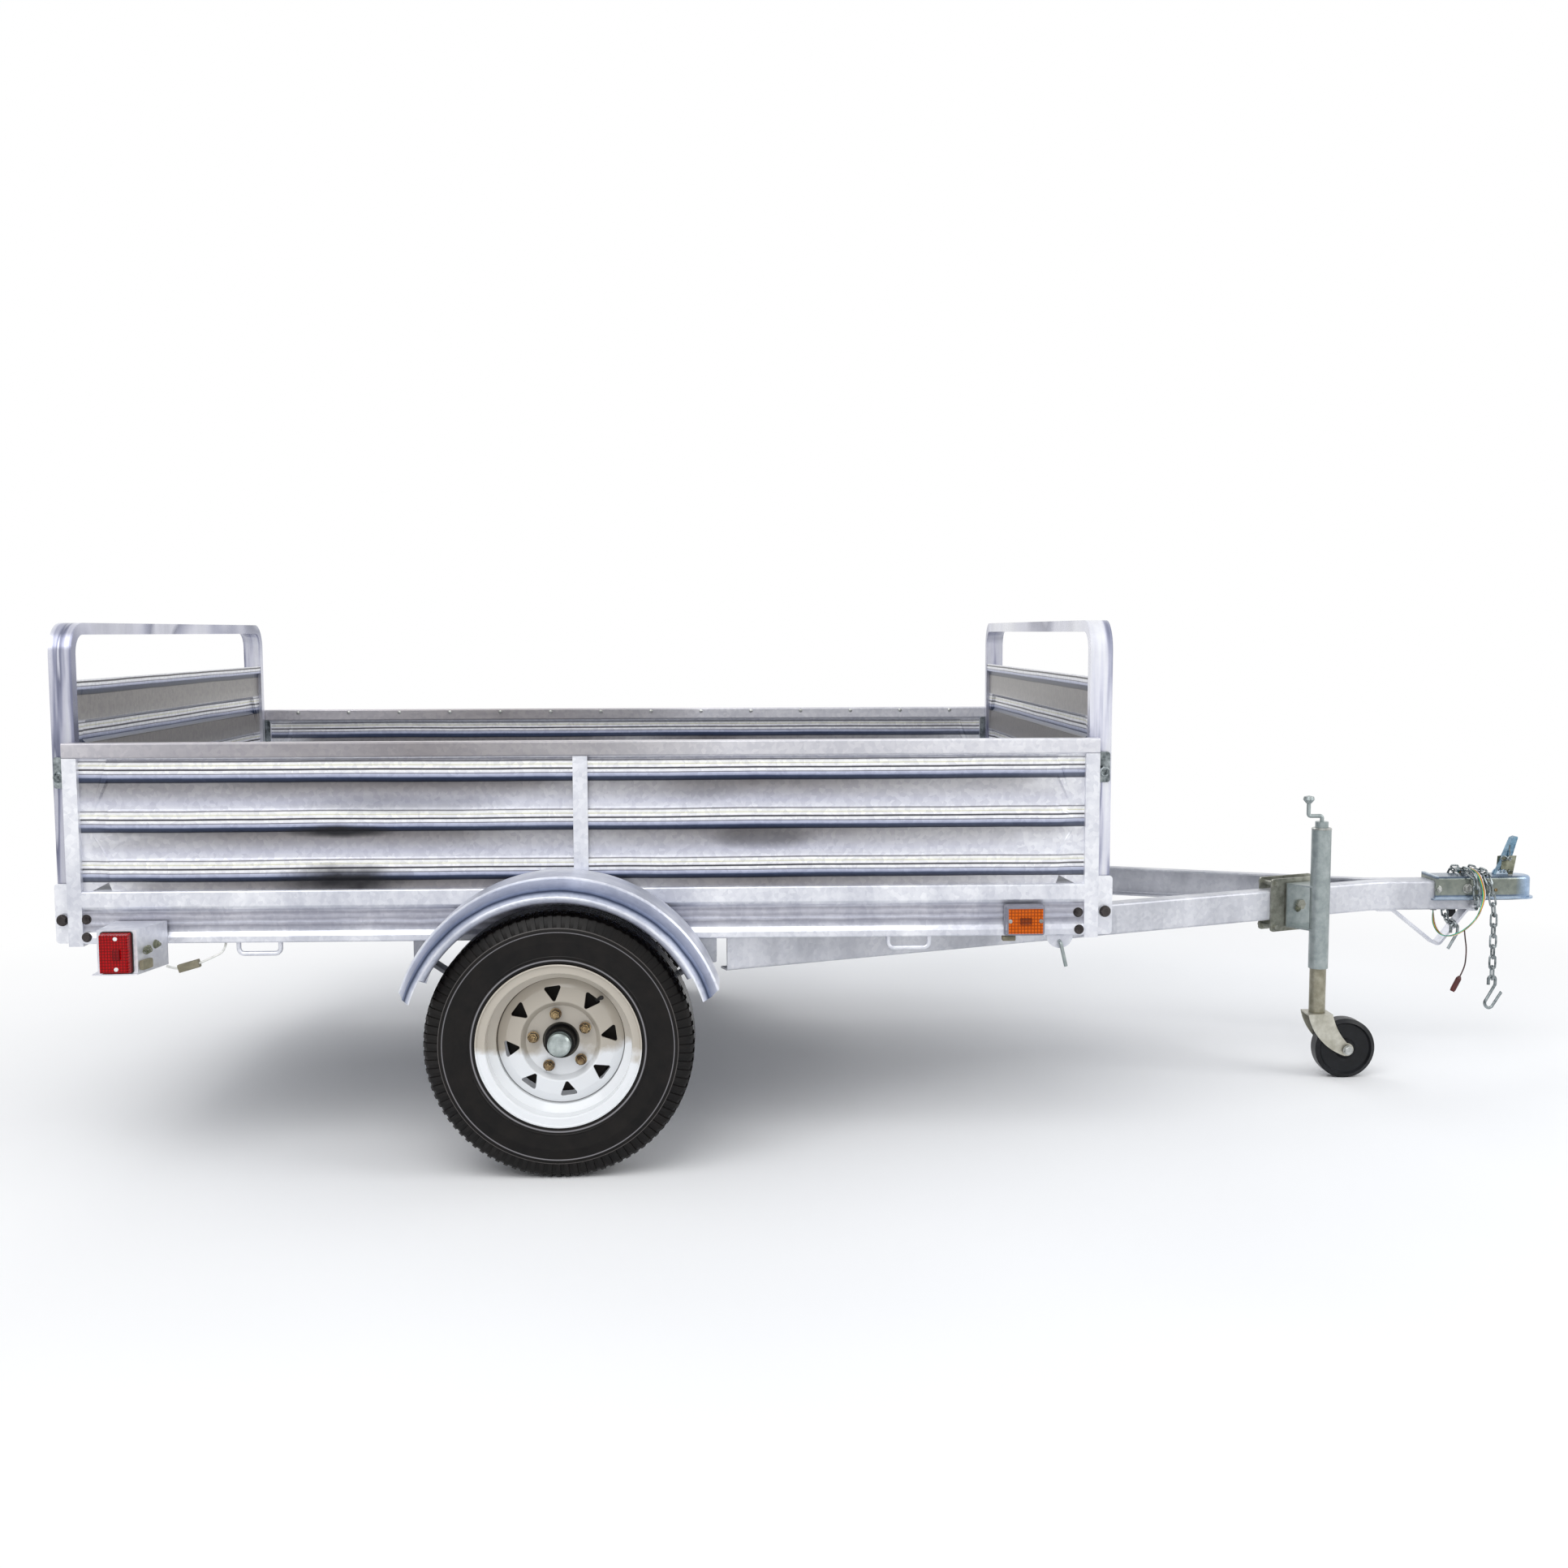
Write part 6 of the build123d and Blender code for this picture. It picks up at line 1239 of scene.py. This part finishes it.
# %% [markdown]
# ## Light, floor and backdrop
# A plain studio: a broad lamp high in front, two weaker ones from the tongue's side and from behind, and
# an even world. The camera and shiny metal see a white world. The floor is a large pale sheet that keeps
# the soft shadow, and turns white for the camera a few metres away.


# %% Lamps
def area_lamp(name, place, target, size, power):
    """A square soft lamp that looks at a point"""
    bpy.ops.object.light_add(type="AREA", location=place)
    lamp = bpy.context.object
    lamp.name = name
    lamp.data.size = size
    lamp.data.energy = power
    lamp.rotation_euler = (Vector(target) - Vector(place)).to_track_quat("-Z", "Y").to_euler()
    print(name, power, "W")


centre = (AXLE_X + 0.6, 0, 0.6)
area_lamp("key_lamp", (AXLE_X - 1.2, -4.2, 5.2), centre, 5.0, 170)
area_lamp("side_lamp", (AXLE_X + 5.5, -2.5, 3.5), centre, 3.0, 80)
area_lamp("back_lamp", (AXLE_X - 1.0, 4.5, 4.5), centre, 3.0, 70)


# %% World
def seen_by(tree, kinds):
    """1 for the kinds of ray that are named, 0 for the others"""
    seen = 0
    for kind in kinds:
        rays = add_node(tree, "LightPath", {}, f"Is {kind} Ray")
        seen = add_node(tree, "Math", {0: seen, 1: rays}, operation="MAXIMUM")
    return seen


world = bpy.data.worlds.new("studio")
world.use_nodes = True
bpy.context.scene.world = world
tree = world.node_tree
seen = seen_by(tree, ("Camera", "Glossy", "Transmission"))
even = add_node(tree, "Background", {"Color": linear("eef1f6"), "Strength": 0.68})
white = add_node(tree, "Background", {"Color": (1, 1, 1, 1), "Strength": 1})
both = add_node(tree, "MixShader", {0: seen, 1: even, 2: white})
feed(tree, tree.nodes["World Output"], {"Surface": both})
print("world made")

# %% Floor
FLOOR_SIZE = 60
SHADOW_END, BACKDROP_START = 1.6, 3.4  # from the middle of the trailer

bpy.ops.object.select_all(action="DESELECT")
bpy.ops.mesh.primitive_grid_add(x_subdivisions=2, y_subdivisions=2, size=FLOOR_SIZE, location=(0, 0, 0))
floor = bpy.context.object
floor.name = "floor"
made, tree, shader, place = new_material("pale_studio_floor")
patches = add_node(tree, "TexNoise", {"Vector": place, "Scale": 1 / 1.5})
coat = add_node(tree, "ValToRGB", {"Fac": patches}, stops=((0.3, "fafafa"), (0.7, "ffffff")))
feed(tree, shader, {"Base Color": coat, "Roughness": 0.9})
away = add_node(tree, "VectorMath", {0: place}, "Value", operation="LENGTH")
backdrop = add_node(tree, "MapRange", {"Value": away, "From Min": SHADOW_END, "From Max": BACKDROP_START})
whiter = add_node(tree, "Math", {0: seen_by(tree, ("Camera", "Glossy")), 1: backdrop}, operation="MULTIPLY")
glow = add_node(tree, "Emission", {"Color": (1, 1, 1, 1), "Strength": 1})
both = add_node(tree, "MixShader", {0: whiter, 1: shader.outputs[0], 2: glow})
feed(tree, tree.nodes["Material Output"], {"Surface": both})
floor.data.materials.append(made)
bpy.context.scene.view_settings.view_transform = "Standard"
print("floor", FLOOR_SIZE, "m")

# %% [markdown]
# ## Clear up
# The patterns that were copied have done their work and are removed.

# %% Clear up and finish
for pattern in (m10_head, m12_head, m8_nut, m12_nut, rivet, screw, valve):
    bpy.data.objects.remove(pattern)
